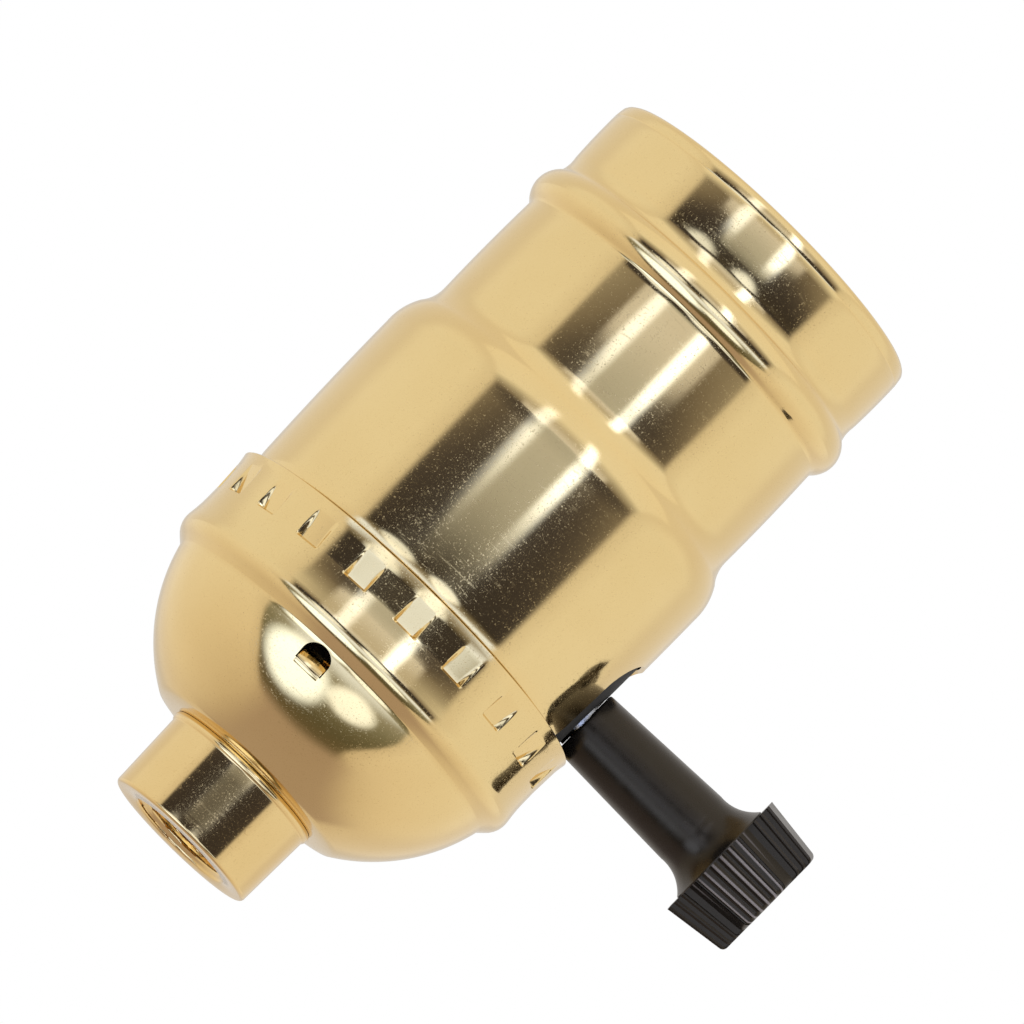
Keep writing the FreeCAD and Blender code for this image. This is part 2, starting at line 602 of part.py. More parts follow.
def make_load_blade():
    """Fixed blade under the cover: tab to the lamp contact, finger over the rotor."""
    half = CLIP_HALF_WIDTH
    top = BODY_TOP
    finger_z = SWITCH_Z + BUTTON_REACH + MOVE_GAP
    tab_x = CONTACT_ROOT_X + BLADE_GAUGE / 2 + SEAT_GAP
    leg = LOAD_LEG_X
    parts = [
        block(tab_x, tab_x + BLADE_GAUGE, -half, half, top - BLADE_GAUGE, BOSS_TOP - 0.6),
        block(tab_x, leg + BLADE_GAUGE, -half, half, top - BLADE_GAUGE, top),
        block(leg, leg + BLADE_GAUGE, -half, half, finger_z, top),
        block(-CLIP_HALF_WIDTH, leg + BLADE_GAUGE, -half, half, finger_z, finger_z + BLADE_GAUGE),
    ]
    blade = parts[0].fuse(parts[1:])
    hole = Part.makeCylinder(BLADE_RIVET_R + SEAT_GAP, BLADE_GAUGE * 3,
                             V(BLADE_RIVET_X, 0, top - 2 * BLADE_GAUGE))
    return blade.cut(hole).removeSplitter()


def make_blade_rivet():
    """Rivet through the boss that clamps the load blade under the cover."""
    shank_r = BLADE_RIVET_R
    head_r = BLADE_RIVET_HEAD_R
    rise = BLADE_RIVET_HEAD
    low = BODY_TOP - BLADE_GAUGE
    centre = V(BLADE_RIVET_X, 0, 0)
    shank = Part.makeCylinder(shank_r, BOSS_TOP - low, centre + V(0, 0, low))
    head = Part.makeCone(head_r, shank_r, rise, centre + V(0, 0, BOSS_TOP))
    tail = Part.makeCone(shank_r, head_r, rise, centre + V(0, 0, low - rise))
    return shank.fuse([head, tail])


def make_shaft_ferrule():
    """Plated bearing bush, pressed into the body, that the knob stands off from."""
    nose = KNOB_BASE_X - RUN_GAP
    barrel = rod(FERRULE_R, FERRULE_START, nose, X_AXIS)
    flange = rod(FERRULE_FLANGE_R, FERRULE_SEAT_X, FERRULE_SEAT_X + FERRULE_FLANGE, X_AXIS)
    bore = rod(SHAFT_R + RUN_GAP, 0, nose + 1.0, X_AXIS)
    return at_switch(barrel.fuse(flange).cut(bore))


def make_switch_shaft():
    shaft = rod(SHAFT_R, SHAFT_TAIL, SHAFT_TIP, X_AXIS)
    return at_switch(shaft.makeChamfer(0.3, [e for e in shaft.Edges if e.BoundBox.XLength < 1e-6]))


def rotor_square(half, corner, start, end):
    blank = block(start, end, -half, half, -half, half)
    return blank.makeFillet(corner, [e for e in blank.Edges if e.BoundBox.XLength > 1.0])


def make_switch_rotor():
    """Square moulded cam: its flats give the four stops of a turn."""
    rotor = rotor_square(ROTOR_HALF, ROTOR_CORNER, ROTOR_START, ROTOR_END)
    return at_switch(rotor.cut(rod(SHAFT_R, ROTOR_START, ROTOR_END, X_AXIS)))


def make_rotor_contact():
    """Bridging clip round the rotor, with a contact button above and below."""
    half = CLIP_HALF_WIDTH
    outer = rotor_square(ROTOR_HALF + BLADE_GAUGE, CLIP_CORNER, -half, half)
    inner = rotor_square(ROTOR_HALF, ROTOR_CORNER, -half - 1.0, half + 1.0)
    open_side = block(-half, half, ROTOR_HALF - 1.3, BODY_R, -BODY_R, BODY_R)
    clip = outer.cut([inner, open_side])
    buttons = []
    for side in (1, -1):
        post = Part.makeCylinder(BUTTON_R, BUTTON_REACH - ROTOR_HALF, V(0, 0, ROTOR_HALF))
        if side < 0:
            post = post.rotated(ORIGIN, X_AXIS, 180)
        buttons.append(post)
    return at_switch(clip.fuse(buttons))


def make_shaft_washer():
    washer = rod(WASHER_R, ROTOR_END, ROTOR_END + WASHER_THICK, X_AXIS)
    return at_switch(washer.cut(rod(SHAFT_R, ROTOR_END, ROTOR_END + WASHER_THICK, X_AXIS)))


def make_detent_spring():
    """Bowed leaf that lies against one flat of the rotor."""
    face = ROTOR_HALF + SEAT_GAP
    seat = CAVITY_HALF_Y
    half = DETENT_HALF_SPAN
    gauge = DETENT_GAUGE
    inner = Part.Arc(V(0, seat, -half), V(0, face, 0), V(0, seat, half)).toShape()
    outer = Part.Arc(V(0, seat + gauge, half), V(0, face + gauge, 0), V(0, seat + gauge, -half)).toShape()
    ends = [Part.makeLine(V(0, seat, half), V(0, seat + gauge, half)),
            Part.makeLine(V(0, seat + gauge, -half), V(0, seat, -half))]
    leaf = Part.Face(Part.Wire([inner, ends[0], outer, ends[1]]))
    leaf = leaf.extrude(V(2 * DETENT_HALF_WIDTH, 0, 0))
    return at_switch(leaf.translated(V(DETENT_X - DETENT_HALF_WIDTH, 0, 0)))


# ----------------------------------------------------------------- lamp contact

def make_centre_contact():
    """Springy tongue under the lamp's tip, hooked through the boss by its tail."""
    gauge = BLADE_GAUGE
    half = CONTACT_HALF_WIDTH
    rise = math.radians(CONTACT_RISE_ANGLE)
    curl = CONTACT_CURL_R
    root_z = BOSS_TOP + CONTACT_LIFT
    tail = block(CONTACT_ROOT_X - gauge / 2, CONTACT_ROOT_X + gauge / 2, -half, half,
                 BOSS_TOP - CONTACT_TAIL, root_z)
    tongue = block(0, CONTACT_REACH, -half, half, 0, gauge)
    tip = rod(curl, -half, half, Y_AXIS).cut(rod(curl - gauge, -half, half, Y_AXIS))
    tip = tip.common(block(0, curl, -half, half, -CONTACT_CURL_DROP, curl))
    tip = tip.translated(V(CONTACT_REACH, 0, gauge - curl))
    tongue = tongue.fuse(tip).rotated(ORIGIN, Y_AXIS, -math.degrees(rise))
    tongue = tongue.translated(V(CONTACT_ROOT_X - gauge / 2, 0, root_z - gauge * 0.6))
    return tail.fuse(tongue).removeSplitter()


# ------------------------------------------------------------------------ knob

def grip_section(x, scale):
    """Closed outline of the knob's head across the shaft, at one place along it."""
    corners = [(FACET_DEPTH, FACET_IN), (WING_HALF_THICK, FACET_OUT), (WING_HALF_THICK, HEAD_HALF_BACK)]
    corners += [(-y, z) for y, z in reversed(corners)]
    upper = [V(x, y * scale, z * scale) for y, z in corners]
    lower = [V(x, -y * scale, -z * scale) for y, z in corners]
    edges = [Part.makeLine(a, b) for a, b in zip(upper, upper[1:])]
    edges.append(Part.Arc(upper[-1], V(x, -BULGE_FACE * scale, 0), lower[0]).toShape())
    edges += [Part.makeLine(a, b) for a, b in zip(lower, lower[1:])]
    edges.append(Part.Arc(lower[-1], V(x, BULGE_FACE * scale, 0), upper[0]).toShape())
    return Part.Wire(edges)


def grip_cutters():
    """Flutes round the middle bulge and fine grooves on the wings, both sides."""
    start, length = HEAD_X - 1.0, HEAD_LENGTH + 2.0
    lean = math.degrees(math.atan(BULGE_FACE * HEAD_TAPER / HEAD_LENGTH))
    cutters = []
    for k in range(FLUTE_COUNT):
        flute = Part.makeCylinder(FLUTE_R, length, V(start, -BULGE_FACE, 0), X_AXIS)
        flute = flute.rotated(V(HEAD_X, -BULGE_FACE, 0), Z_AXIS, lean)
        cutters.append(flute.rotated(ORIGIN, X_AXIS, (k - (FLUTE_COUNT - 1) / 2.0) * FLUTE_PITCH))
    for k in range(RIB_COUNT):
        for side in (1, -1):
            z = side * (FACET_OUT + RIB_PITCH * (k + 0.6))
            cutters.append(Part.makeCylinder(RIB_R, length, V(start, -WING_HALF_THICK, z), X_AXIS))
    return cutters + [c.rotated(ORIGIN, X_AXIS, 180) for c in cutters]


def make_knob():
    """Moulded knob: flared stem and a fluted paddle grip."""
    front = HEAD_X + HEAD_LENGTH
    grip = Part.makeLoft([grip_section(HEAD_X, 1.0), grip_section(front, 1.0 - HEAD_TAPER)], True, True)
    pillow = block(HEAD_X, front, -BODY_R, BODY_R, -HEAD_HALF_BACK - 1.0, HEAD_HALF_BACK + 1.0)
    grip = grip.cut(grip_cutters()).common(pillow)
    stem = section_wire(
        (0, KNOB_BASE_X),
        (STEM_BASE_R, KNOB_BASE_X),
        (STEM_NECK_R, STEM_FILLET_X),
        ((STEM_NECK_R + 0.40, HEAD_X - 1.35), (STEM_FLARE_R, HEAD_X)),
        (0, HEAD_X),
        (0, KNOB_BASE_X),
    )
    stem = spun(Part.Face(stem)).rotated(ORIGIN, Y_AXIS, 90)
    bore = rod(SHAFT_R + SEAT_GAP, KNOB_BASE_X, SHAFT_TIP + KNOB_BORE_END, X_AXIS)
    knob = stem.fuse(grip).cut(bore).rotated(ORIGIN, X_AXIS, KNOB_ANGLE)
    return at_switch(knob)


PIECES = {
    "cap": make_cap,
    "cap_bushing": make_cap_bushing,
    "outer_shell": make_outer_shell,
    "shell_liner": make_shell_liner,
    "switch_body": make_switch_body,
    "body_cover": make_body_cover,
    "screw_shell": make_screw_shell,
    "fibre_washer": make_fibre_washer,
    "shell_rivets": make_shell_rivets,
    "hot_terminal": make_hot_terminal,
    "hot_terminal_screw": lambda: make_terminal_screw(-1),
    "neutral_terminal": make_neutral_terminal,
    "neutral_terminal_screw": lambda: make_terminal_screw(1),
    "load_blade": make_load_blade,
    "blade_rivet": make_blade_rivet,
    "shaft_ferrule": make_shaft_ferrule,
    "detent_spring": make_detent_spring,
    "switch_shaft": make_switch_shaft,
    "switch_rotor": make_switch_rotor,
    "rotor_contact": make_rotor_contact,
    "shaft_washer": make_shaft_washer,
    "knob": make_knob,
    "centre_contact": make_centre_contact,
}

os.makedirs("parts", exist_ok=True)
for name, make in PIECES.items():
    shape = make()
    shape.exportStep("parts/" + name + ".step")
    print(name, shape.ShapeType, len(shape.Solids), shape.isValid(), round(shape.Volume, 2))
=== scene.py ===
"""Looks of a brass turn-knob lamp holder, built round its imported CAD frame. Metres, +Z up."""
import math

import bmesh
import bpy
import numpy as np
from mathutils import Matrix, Vector


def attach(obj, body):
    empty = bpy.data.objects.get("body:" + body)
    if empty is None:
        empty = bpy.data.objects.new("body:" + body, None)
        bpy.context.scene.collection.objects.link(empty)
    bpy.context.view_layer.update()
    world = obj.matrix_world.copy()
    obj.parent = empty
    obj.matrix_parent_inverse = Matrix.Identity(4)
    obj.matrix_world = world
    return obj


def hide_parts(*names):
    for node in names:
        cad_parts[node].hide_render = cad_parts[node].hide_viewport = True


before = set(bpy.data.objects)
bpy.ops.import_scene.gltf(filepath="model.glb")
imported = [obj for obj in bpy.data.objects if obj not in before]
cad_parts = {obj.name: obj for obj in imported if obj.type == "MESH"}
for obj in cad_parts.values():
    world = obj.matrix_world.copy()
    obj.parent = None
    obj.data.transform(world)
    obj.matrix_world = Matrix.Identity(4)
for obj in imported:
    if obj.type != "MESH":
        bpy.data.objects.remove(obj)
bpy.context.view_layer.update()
scene = bpy.context.scene
MM = 0.001


# ---- Camera: a long lens at the hub's side, a little below, rolled so that the socket
# leans over to the right.
VIEW_TILT = math.radians(8.3)       # how far the view looks up along the socket
VIEW_LEAN = math.radians(45.69)     # the socket's axis above the view's horizontal
VIEW_DISTANCE = 2.0
VIEW_WIDTH = 87.88 * MM             # width of the view at the object
VIEW_AIM = Vector((0.72, 0.0, 40.50)) * MM

ahead = Vector((0.0, math.cos(VIEW_TILT), math.sin(VIEW_TILT)))
level_right = Vector((1.0, 0.0, 0.0))
level_up = Vector((0.0, -math.sin(VIEW_TILT), math.cos(VIEW_TILT)))
camera_right = math.sin(VIEW_LEAN) * level_right + math.cos(VIEW_LEAN) * level_up
camera_up = -math.cos(VIEW_LEAN) * level_right + math.sin(VIEW_LEAN) * level_up
camera_data = bpy.data.cameras.new("camera")
camera_data.sensor_width = 36.0
camera_data.lens = camera_data.sensor_width * VIEW_DISTANCE / VIEW_WIDTH
camera_data.clip_start = 0.05
camera_data.clip_end = 20.0
camera = bpy.data.objects.new("camera", camera_data)
camera_turn = Matrix((camera_right, camera_up, -ahead)).transposed().to_4x4()
camera.matrix_world = Matrix.Translation(VIEW_AIM - ahead * VIEW_DISTANCE) @ camera_turn
scene.collection.objects.link(camera)
scene.camera = camera


# ---- Studio: a white tent all round, open towards the camera. Polished brass mirrors that
# opening as its dark middle, crossed by two tall soft strips, with a pale table below.

# Angles are in degrees: the swing goes up from the camera over the top, the bearing goes
# round the horizon from the camera, and aside is the angle to the camera's right.
OPENING_HALF = 52.0                 # width of the opening to each side
OPENING_FOOT_HALF = 25.0            # the same at its foot, below the object
OPENING_NARROWS = (-74.0, -36.0)    # swing over which it widens from foot to full
OPENING_REACH = (-125.0, 84.0)      # swing from its foot to its top
OPENING_FADE = 8.0
LOW_PART, LOW_SHIFT = (-30.0, 0.0), 3.5         # below this swing the opening stands aside
FOOT_PART, FOOT_SHIFT = (-76.0, -62.0), -9.0    # and at its foot the other way
EDGE_SOFT, FOOT_SOFT = 2.5, 6.0     # softness of its edge, and what the foot adds
BESIDE_REACH, BESIDE_SHARE, BESIDE_TONE = 16.0, 0.30, (0.62, 0.55, 0.50)
# A faint grey band far behind the object, which the brass mirrors along its outline.
REAR_BEARING, REAR_HEIGHT = (158.0, 166.0), (14.0, 40.0)
REAR_SHARE, REAR_TONE = 0.35, (0.42, 0.40, 0.37)
# Tones of the tent by height, and of the opening by the swing.
TENT = ((-90, (0.66, 0.58, 0.50)), (-62, (0.74, 0.67, 0.60)), (-35, (0.90, 0.85, 0.79)),
        (-8, (0.98, 0.97, 0.95)), (12, (0.96, 0.97, 0.97)), (40, (1.00, 0.99, 0.97)),
        (90, (1.00, 0.98, 0.94)))
OPENING = ((-125, (0.50, 0.42, 0.40)), (-72, (0.48, 0.40, 0.38)), (-65, (0.15, 0.13, 0.09)),
           (-56, (0.13, 0.125, 0.09)), (-47, (0.18, 0.18, 0.14)), (-40, (0.24, 0.25, 0.22)),
           (-30, (0.36, 0.38, 0.38)), (-24, (0.95, 1.15, 1.70)), (-15, (1.10, 1.35, 2.10)),
           (-11, (0.36, 0.35, 0.34)), (-5.5, (0.12, 0.11, 0.10)), (-2, (0.050, 0.046, 0.050)),
           (6, (0.048, 0.045, 0.056)), (9, (0.075, 0.070, 0.085)), (13, (0.24, 0.22, 0.21)),
           (24, (0.50, 0.50, 0.50)), (38, (0.98, 0.99, 1.00)), (90, (1.00, 0.98, 0.94)))
# The opening's pale middle: its own middle, the swing at which it begins, the softness of
# its sides, its half width, which grows by so much over each stretch of swing, and its tones.
MIDDLE_ASIDE, MIDDLE_START, MIDDLE_SOFT = -1.5, (4.0, 5.0), 4.5
MIDDLE_HALF, MIDDLE_GROWS = 6.0, ((3.9, 5.6, 10.0), (8.4, 11.4, 12.0))
MIDDLE = ((-90, (0.05, 0.05, 0.06)), (4.0, (0.05, 0.05, 0.06)), (4.9, (0.42, 0.47, 0.57)),
          (7.0, (0.56, 0.62, 0.75)), (8.6, (0.58, 0.64, 0.78)), (11, (0.82, 0.88, 1.10)),
          (24, (0.60, 0.60, 0.62)), (38, (0.98, 0.99, 1.00)), (90, (1.00, 0.98, 0.94)))
# Soft strips: bearing of the middle, half width of the core and of the whole, brightness.
STRIPS = ((-19.5, 1.5, 7.0, 1.1), (14.5, 1.5, 6.5, 2.2))
STRIP_FOOT, STRIP_TOP = (5.4, 8.4), (30.0, 50.0)    # heights over which they fade
STRIP_TONE = (0.80, 1.00, 1.60)
# Soft lights below the camera: middle and reach, aside and in swing, and tone.
BOUNCES = (((-21.0, -43.0), (27.0, 19.0), (1.45, 1.85, 2.90)),
           ((15.5, -36.5), (18.0, 10.5), (1.15, 1.40, 2.10)),
           ((-27.0, -6.0), (15.0, 9.0), (1.00, 1.20, 1.70)),
           ((8.0, -6.0), (13.0, 9.0), (1.20, 1.45, 2.10)))
BOUNCE_CORE = 0.30                  # share of a light's squared reach that is full

world = bpy.data.worlds.new("studio")
scene.world = world
world.use_nodes = True
sky = world.node_tree


def feed(tree, node, inputs):
    """Sets inputs by name or place, each to a value or to another node's output."""
    for place, value in inputs.items():
        if isinstance(value, bpy.types.NodeSocket):
            tree.links.new(value, node.inputs[place])
        else:
            node.inputs[place].default_value = value


def put(tree, kind, inputs=None, **settings):
    """Adds a node to a tree, with its settings and its inputs."""
    node = tree.nodes.new(kind)
    for name, value in settings.items():
        setattr(node, name, value)
    feed(tree, node, inputs or {})
    return node


def math_of(tree, operation, *values):
    """A math node's result."""
    return put(tree, "ShaderNodeMath", dict(enumerate(values)), operation=operation).outputs[0]


def ranged(tree, value, start, end, low=0.0, high=1.0, shape="LINEAR"):
    """Takes a value's stretch from start to end to low and high, and holds it beyond."""
    stretch = {"Value": value, "From Min": start, "From Max": end, "To Min": low, "To Max": high}
    return put(tree, "ShaderNodeMapRange", stretch, interpolation_type=shape).outputs[0]


def sky_math(operation, *values):
    """A math node of the surroundings."""
    return math_of(sky, operation, *values)


def sky_degrees(operation, *values):
    """The same for an angle, in degrees."""
    return sky_math("MULTIPLY", sky_math(operation, *values), math.degrees(1.0))


def sky_step(value, start, end):
    """0 before `start`, 1 after `end`, smooth between."""
    return ranged(sky, value, start, end, shape="SMOOTHSTEP")


def sky_fall(value, start, end):
    """1 before `start`, 0 after `end`, smooth between."""
    return sky_math("SUBTRACT", 1.0, sky_step(value, start, end))


def sky_ramp(turn, stops, reach):
    """Tone of the surroundings by an angle in degrees, from -reach to +reach."""
    share = sky_math("MULTIPLY_ADD", turn, 0.5 / reach, 0.5)
    node = put(sky, "ShaderNodeValToRGB", {"Fac": share})
    ramp = node.color_ramp
    while len(ramp.elements) < len(stops):
        ramp.elements.new(0.5)
    for element, (angle, tone) in zip(ramp.elements, stops):
        element.position = (angle + reach) / (2 * reach)
        element.color = (*tone, 1.0)
    return node.outputs["Color"]


def sky_mix(factor, first, second, blend="MIX"):
    """Second tone over the first, or added to it, by a factor."""
    if isinstance(second, tuple):
        second = (*second, 1.0)
    return put(sky, "ShaderNodeMix", {"Factor": factor, "A": first, "B": second},
               data_type="RGBA", blend_type=blend, clamp_factor=False).outputs["Result"]


look = put(sky, "ShaderNodeTexCoord").outputs["Generated"]
across, away, rise = put(sky, "ShaderNodeSeparateXYZ", {0: look}).outputs
toward = sky_math("MULTIPLY", away, -1.0)
aside = sky_degrees("ARCSINE", across)
bearing = sky_degrees("ARCTAN2", across, toward)
swing = sky_degrees("ARCTAN2", rise, toward)
height = sky_degrees("ARCSINE", rise)

tent = sky_ramp(height, TENT, 90.0)
rear = sky_math("MULTIPLY", sky_step(sky_math("ABSOLUTE", bearing), *REAR_BEARING),
                sky_fall(sky_math("ABSOLUTE", height), *REAR_HEIGHT))
tent = sky_mix(sky_math("MULTIPLY", rear, REAR_SHARE), tent, REAR_TONE)

opening = sky_ramp(swing, OPENING, 180.0)
middle_half = MIDDLE_HALF
for start, end, more in MIDDLE_GROWS:
    middle_half = sky_math("MULTIPLY_ADD", sky_step(swing, start, end), more, middle_half)
from_middle = sky_math("ABSOLUTE", sky_math("SUBTRACT", aside, MIDDLE_ASIDE))
past_middle = sky_math("SUBTRACT", from_middle, middle_half)
middle_share = sky_math("MULTIPLY", sky_step(swing, *MIDDLE_START),
                        sky_fall(past_middle, 0.0, MIDDLE_SOFT))
opening = sky_mix(middle_share, opening, sky_ramp(swing, MIDDLE, 180.0))
for (aside_at, swing_at), (aside_reach, swing_reach), tone in BOUNCES:
    x = sky_math("MULTIPLY", sky_math("SUBTRACT", aside, aside_at), 1.0 / aside_reach)
    y = sky_math("MULTIPLY", sky_math("SUBTRACT", swing, swing_at), 1.0 / swing_reach)
    away_from = sky_math("MULTIPLY_ADD", x, x, sky_math("MULTIPLY", y, y))
    opening = sky_mix(sky_fall(away_from, BOUNCE_CORE, 1.0), opening, tone, "ADD")
for strip_at, core, edge, brightness in STRIPS:
    off = sky_math("ABSOLUTE", sky_math("SUBTRACT", bearing, strip_at))
    tall = sky_math("MULTIPLY", sky_step(height, *STRIP_FOOT), sky_fall(height, *STRIP_TOP))
    strip = sky_math("MULTIPLY", sky_fall(off, core, edge), tall)
    opening = sky_mix(sky_math("MULTIPLY", strip, brightness), opening, STRIP_TONE, "ADD")

width = sky_math("MULTIPLY_ADD", sky_step(swing, *OPENING_NARROWS),
                 OPENING_HALF - OPENING_FOOT_HALF, OPENING_FOOT_HALF)
low_part = sky_fall(swing, *LOW_PART)
foot_part = sky_fall(swing, *FOOT_PART)
shift = sky_math("MULTIPLY_ADD", foot_part, FOOT_SHIFT, sky_math("MULTIPLY", low_part, LOW_SHIFT))
past_edge = sky_math("SUBTRACT", sky_math("ABSOLUTE", sky_math("ADD", aside, shift)), width)
beside = sky_fall(past_edge, 0.0, BESIDE_REACH)
tent = sky_mix(sky_math("MULTIPLY", beside, BESIDE_SHARE), tent, BESIDE_TONE)
soft_edge = sky_math("MULTIPLY_ADD", foot_part, FOOT_SOFT, EDGE_SOFT)
within = sky_fall(sky_math("DIVIDE", past_edge, soft_edge), -1.0, 1.0)
foot, top = OPENING_REACH
between = sky_math("MULTIPLY", sky_step(swing, foot - OPENING_FADE, foot),
                   sky_fall(swing, top, top + OPENING_FADE))
surroundings = sky_mix(sky_math("MULTIPLY", within, between), tent, opening)

mirrored = sky.nodes["Background"]
feed(sky, mirrored, {"Strength": 1.0, "Color": surroundings})
seen = put(sky, "ShaderNodeBackground", {"Color": (1.0, 1.0, 1.0, 1.0)})
camera_ray = put(sky, "ShaderNodeLightPath").outputs["Is Camera Ray"]
chosen = put(sky, "ShaderNodeMixShader",
             {"Fac": camera_ray, 1: mirrored.outputs[0], 2: seen.outputs[0]})
feed(sky, sky.nodes["World Output"], {"Surface": chosen.outputs[0]})

FLOOR_DROP = 0.34
FLOOR_HALF = 3.0
floor_mesh = bpy.data.meshes.new("floor")
floor_mesh.from_pydata([(FLOOR_HALF * x, FLOOR_HALF * y, 0.0)
                        for x, y in ((-1, -1), (1, -1), (1, 1), (-1, 1))], [], [(0, 1, 2, 3)])
floor = bpy.data.objects.new("floor", floor_mesh)
floor.location = (0.0, 0.0, -FLOOR_DROP)
floor.visible_glossy = False
floor_finish = bpy.data.materials.new("floor")
floor_finish.use_nodes = True
feed(floor_finish.node_tree, floor_finish.node_tree.nodes["Principled BSDF"],
     {"Base Color": (0.88, 0.88, 0.87, 1.0), "Roughness": 0.9})
floor_mesh.materials.append(floor_finish)
scene.collection.objects.link(floor)
scene.view_settings.view_transform = "Standard"


# ---- Threaded hub: a turned brass sleeve with a 1/8 inch pipe thread through it. A low
# collar stops it against the cap's crown and its inner end is peened over.
HUB_R = 7.65
HUB_DRAFT = 0.18            # how far the wall draws in towards the hub's entry
HUB_LENGTH = 7.20
HUB_TOP = 9.20
HUB_WAIST_R = 6.30          # where the hub passes through the cap
COLLAR_R = 7.85
PEEN_R = 7.40
CROWN_Z = 8.00
PEEN_Z = CROWN_Z + 0.45
PIPE_PITCH = 25.4 / 27
PIPE_CREST_R = 4.58
PIPE_ROOT_R = 5.08
PIPE_STATIONS = 120
HUB_COLUMNS = 192


def arc_points(start, middle, end, pitch):
    """Points after `start` on the arc through three (radius, height) places."""
    (ax, ay), (bx, by), (cx, cy) = start, middle, end
    a2, b2, c2 = ax * ax + ay * ay, bx * bx + by * by, cx * cx + cy * cy
    twice_area = 2 * (ax * (by - cy) + bx * (cy - ay) + cx * (ay - by))
    centre_x = (a2 * (by - cy) + b2 * (cy - ay) + c2 * (ay - by)) / twice_area
    centre_y = (a2 * (cx - bx) + b2 * (ax - cx) + c2 * (bx - ax)) / twice_area
    radius = math.hypot(ax - centre_x, ay - centre_y)
    first, through, last = (math.atan2(y - centre_y, x - centre_x)
                            for x, y in (start, middle, end))
    sweep = (last - first) % (2 * math.pi)
    if (through - first) % (2 * math.pi) > sweep:
        sweep -= 2 * math.pi
    count = max(3, math.ceil(abs(sweep) * radius / pitch))
    turns = [first + sweep * k / count for k in range(1, count + 1)]
    return [(centre_x + radius * math.cos(t), centre_y + radius * math.sin(t)) for t in turns]


def traced(start, *steps, pitch=0.30):
    """Outline of (radius, height) points: a step is an end, or (middle, end) of an arc,
    or (end, count) for a straight stretch in that many parts."""
    points = [start]
    for step in steps:
        if isinstance(step[0], tuple) and isinstance(step[1], tuple):
            points += arc_points(points[-1], step[0], step[1], pitch)
        elif isinstance(step[0], tuple):
            (x1, y1), count = step
            x0, y0 = points[-1]
            points += [(x0 + (x1 - x0) * k / count, y0 + (y1 - y0) * k / count)
                       for k in range(1, count + 1)]
        else:
            points.append(step)
    return points


def shade(mesh, work, sharp_angle):
    """Writes a bmesh to a mesh, smooth but for edges whose faces meet at a sharp angle."""
    limit = math.radians(sharp_angle)
    for face in work.faces:
        face.smooth = True
    for edge in work.edges:
        edge.smooth = len(edge.link_faces) != 2 or edge.calc_face_angle(0.0) <= limit
    work.to_mesh(mesh)
    work.free()


def mesh_piece(name, vertices, faces, sharp_angle=32.0):
    """A new mesh object with its doubles merged and its faces pointing outwards."""
    mesh = bpy.data.meshes.new(name)
    mesh.from_pydata([tuple(v) for v in vertices], [], faces)
    work = bmesh.new()
    work.from_mesh(mesh)
    bmesh.ops.remove_doubles(work, verts=work.verts, dist=1e-7)
    bmesh.ops.recalc_face_normals(work, faces=work.faces)
    shade(mesh, work, sharp_angle)
    piece = bpy.data.objects.new(name, mesh)
    scene.collection.objects.link(piece)
    return piece


def grid_faces(rows, columns, wrap_rows=False):
    """Faces between rows of points, each row a ring; `wrap_rows` joins the last to the first."""
    faces = []
    for i in range(rows if wrap_rows else rows - 1):
        below = i * columns
        above = ((i + 1) % rows) * columns
        for j in range(columns):
            k = (j + 1) % columns
            faces.append((below + j, below + k, above + k, above + j))
    return faces


def all_round(columns):
    """Evenly spaced angles of one full turn."""
    return np.linspace(0, 2 * math.pi, columns, endpoint=False)


def turned(name, outline, angles, reshape=None, sharp_angle=32.0):
    """Closed outline of (radius, height) in mm, turned about Z into a watertight piece.
    `reshape` takes arrays of angle, radius and height and returns new radius and height."""
    r, z = np.array(outline).T
    phi, radius = np.meshgrid(angles, r)
    height = np.repeat(z[:, None], len(angles), axis=1)
    if reshape is not None:
        radius, height = reshape(phi, radius, height)
    vertices = np.stack([radius * np.cos(phi), radius * np.sin(phi), height], axis=-1) * MM
    faces = grid_faces(len(r), len(angles), wrap_rows=True)
    return mesh_piece(name, vertices.reshape(-1, 3), faces, sharp_angle)


def new_finish(name):
    """A new material, its node tree and the shader that its finish feeds."""
    material = bpy.data.materials.new(name)
    material.use_nodes = True
    return material, material.node_tree, material.node_tree.nodes["Principled BSDF"]


def grain(tree, place, scale, detail, distortion=0.0):
    """Noise over the surface, `scale` features to the metre."""
    return put(tree, "ShaderNodeTexNoise", {"Vector": place, "Scale": scale, "Detail": detail,
                                            "Distortion": distortion}).outputs["Fac"]


def two_tone(tree, share, first, second):
    """A tone between two, each a colour or another node's output."""
    first, second = ((*tone, 1.0) if isinstance(tone, tuple) else tone for tone in (first, second))
    return put(tree, "ShaderNodeMix", {"Factor": share, "A": first, "B": second},
               data_type="RGBA").outputs["Result"]


def embossed(tree, relief, strength, rise):
    """Normal of a surface with a relief `rise` metres high."""
    return put(tree, "ShaderNodeBump", {"Height": relief, "Strength": strength,
                                        "Distance": rise}).outputs[0]


# Marks to the metre, the directions of the hairlines, how long they are drawn out, and the
# height of the wear's relief in metres.
CLOUD_SCALE, SPECKLE_SCALE, HAIR_SCALES = 120.0, 6500.0, (170.0, 210.0, 250.0)
HAIR_TURNS = ((0.4, 0.2, 0.9), (1.3, 0.5, 0.1), (0.2, 1.1, 2.1))
HAIR_DRAWN_OUT = (1.0, 14.0, 14.0)
WEAR_RISE = 0.00002


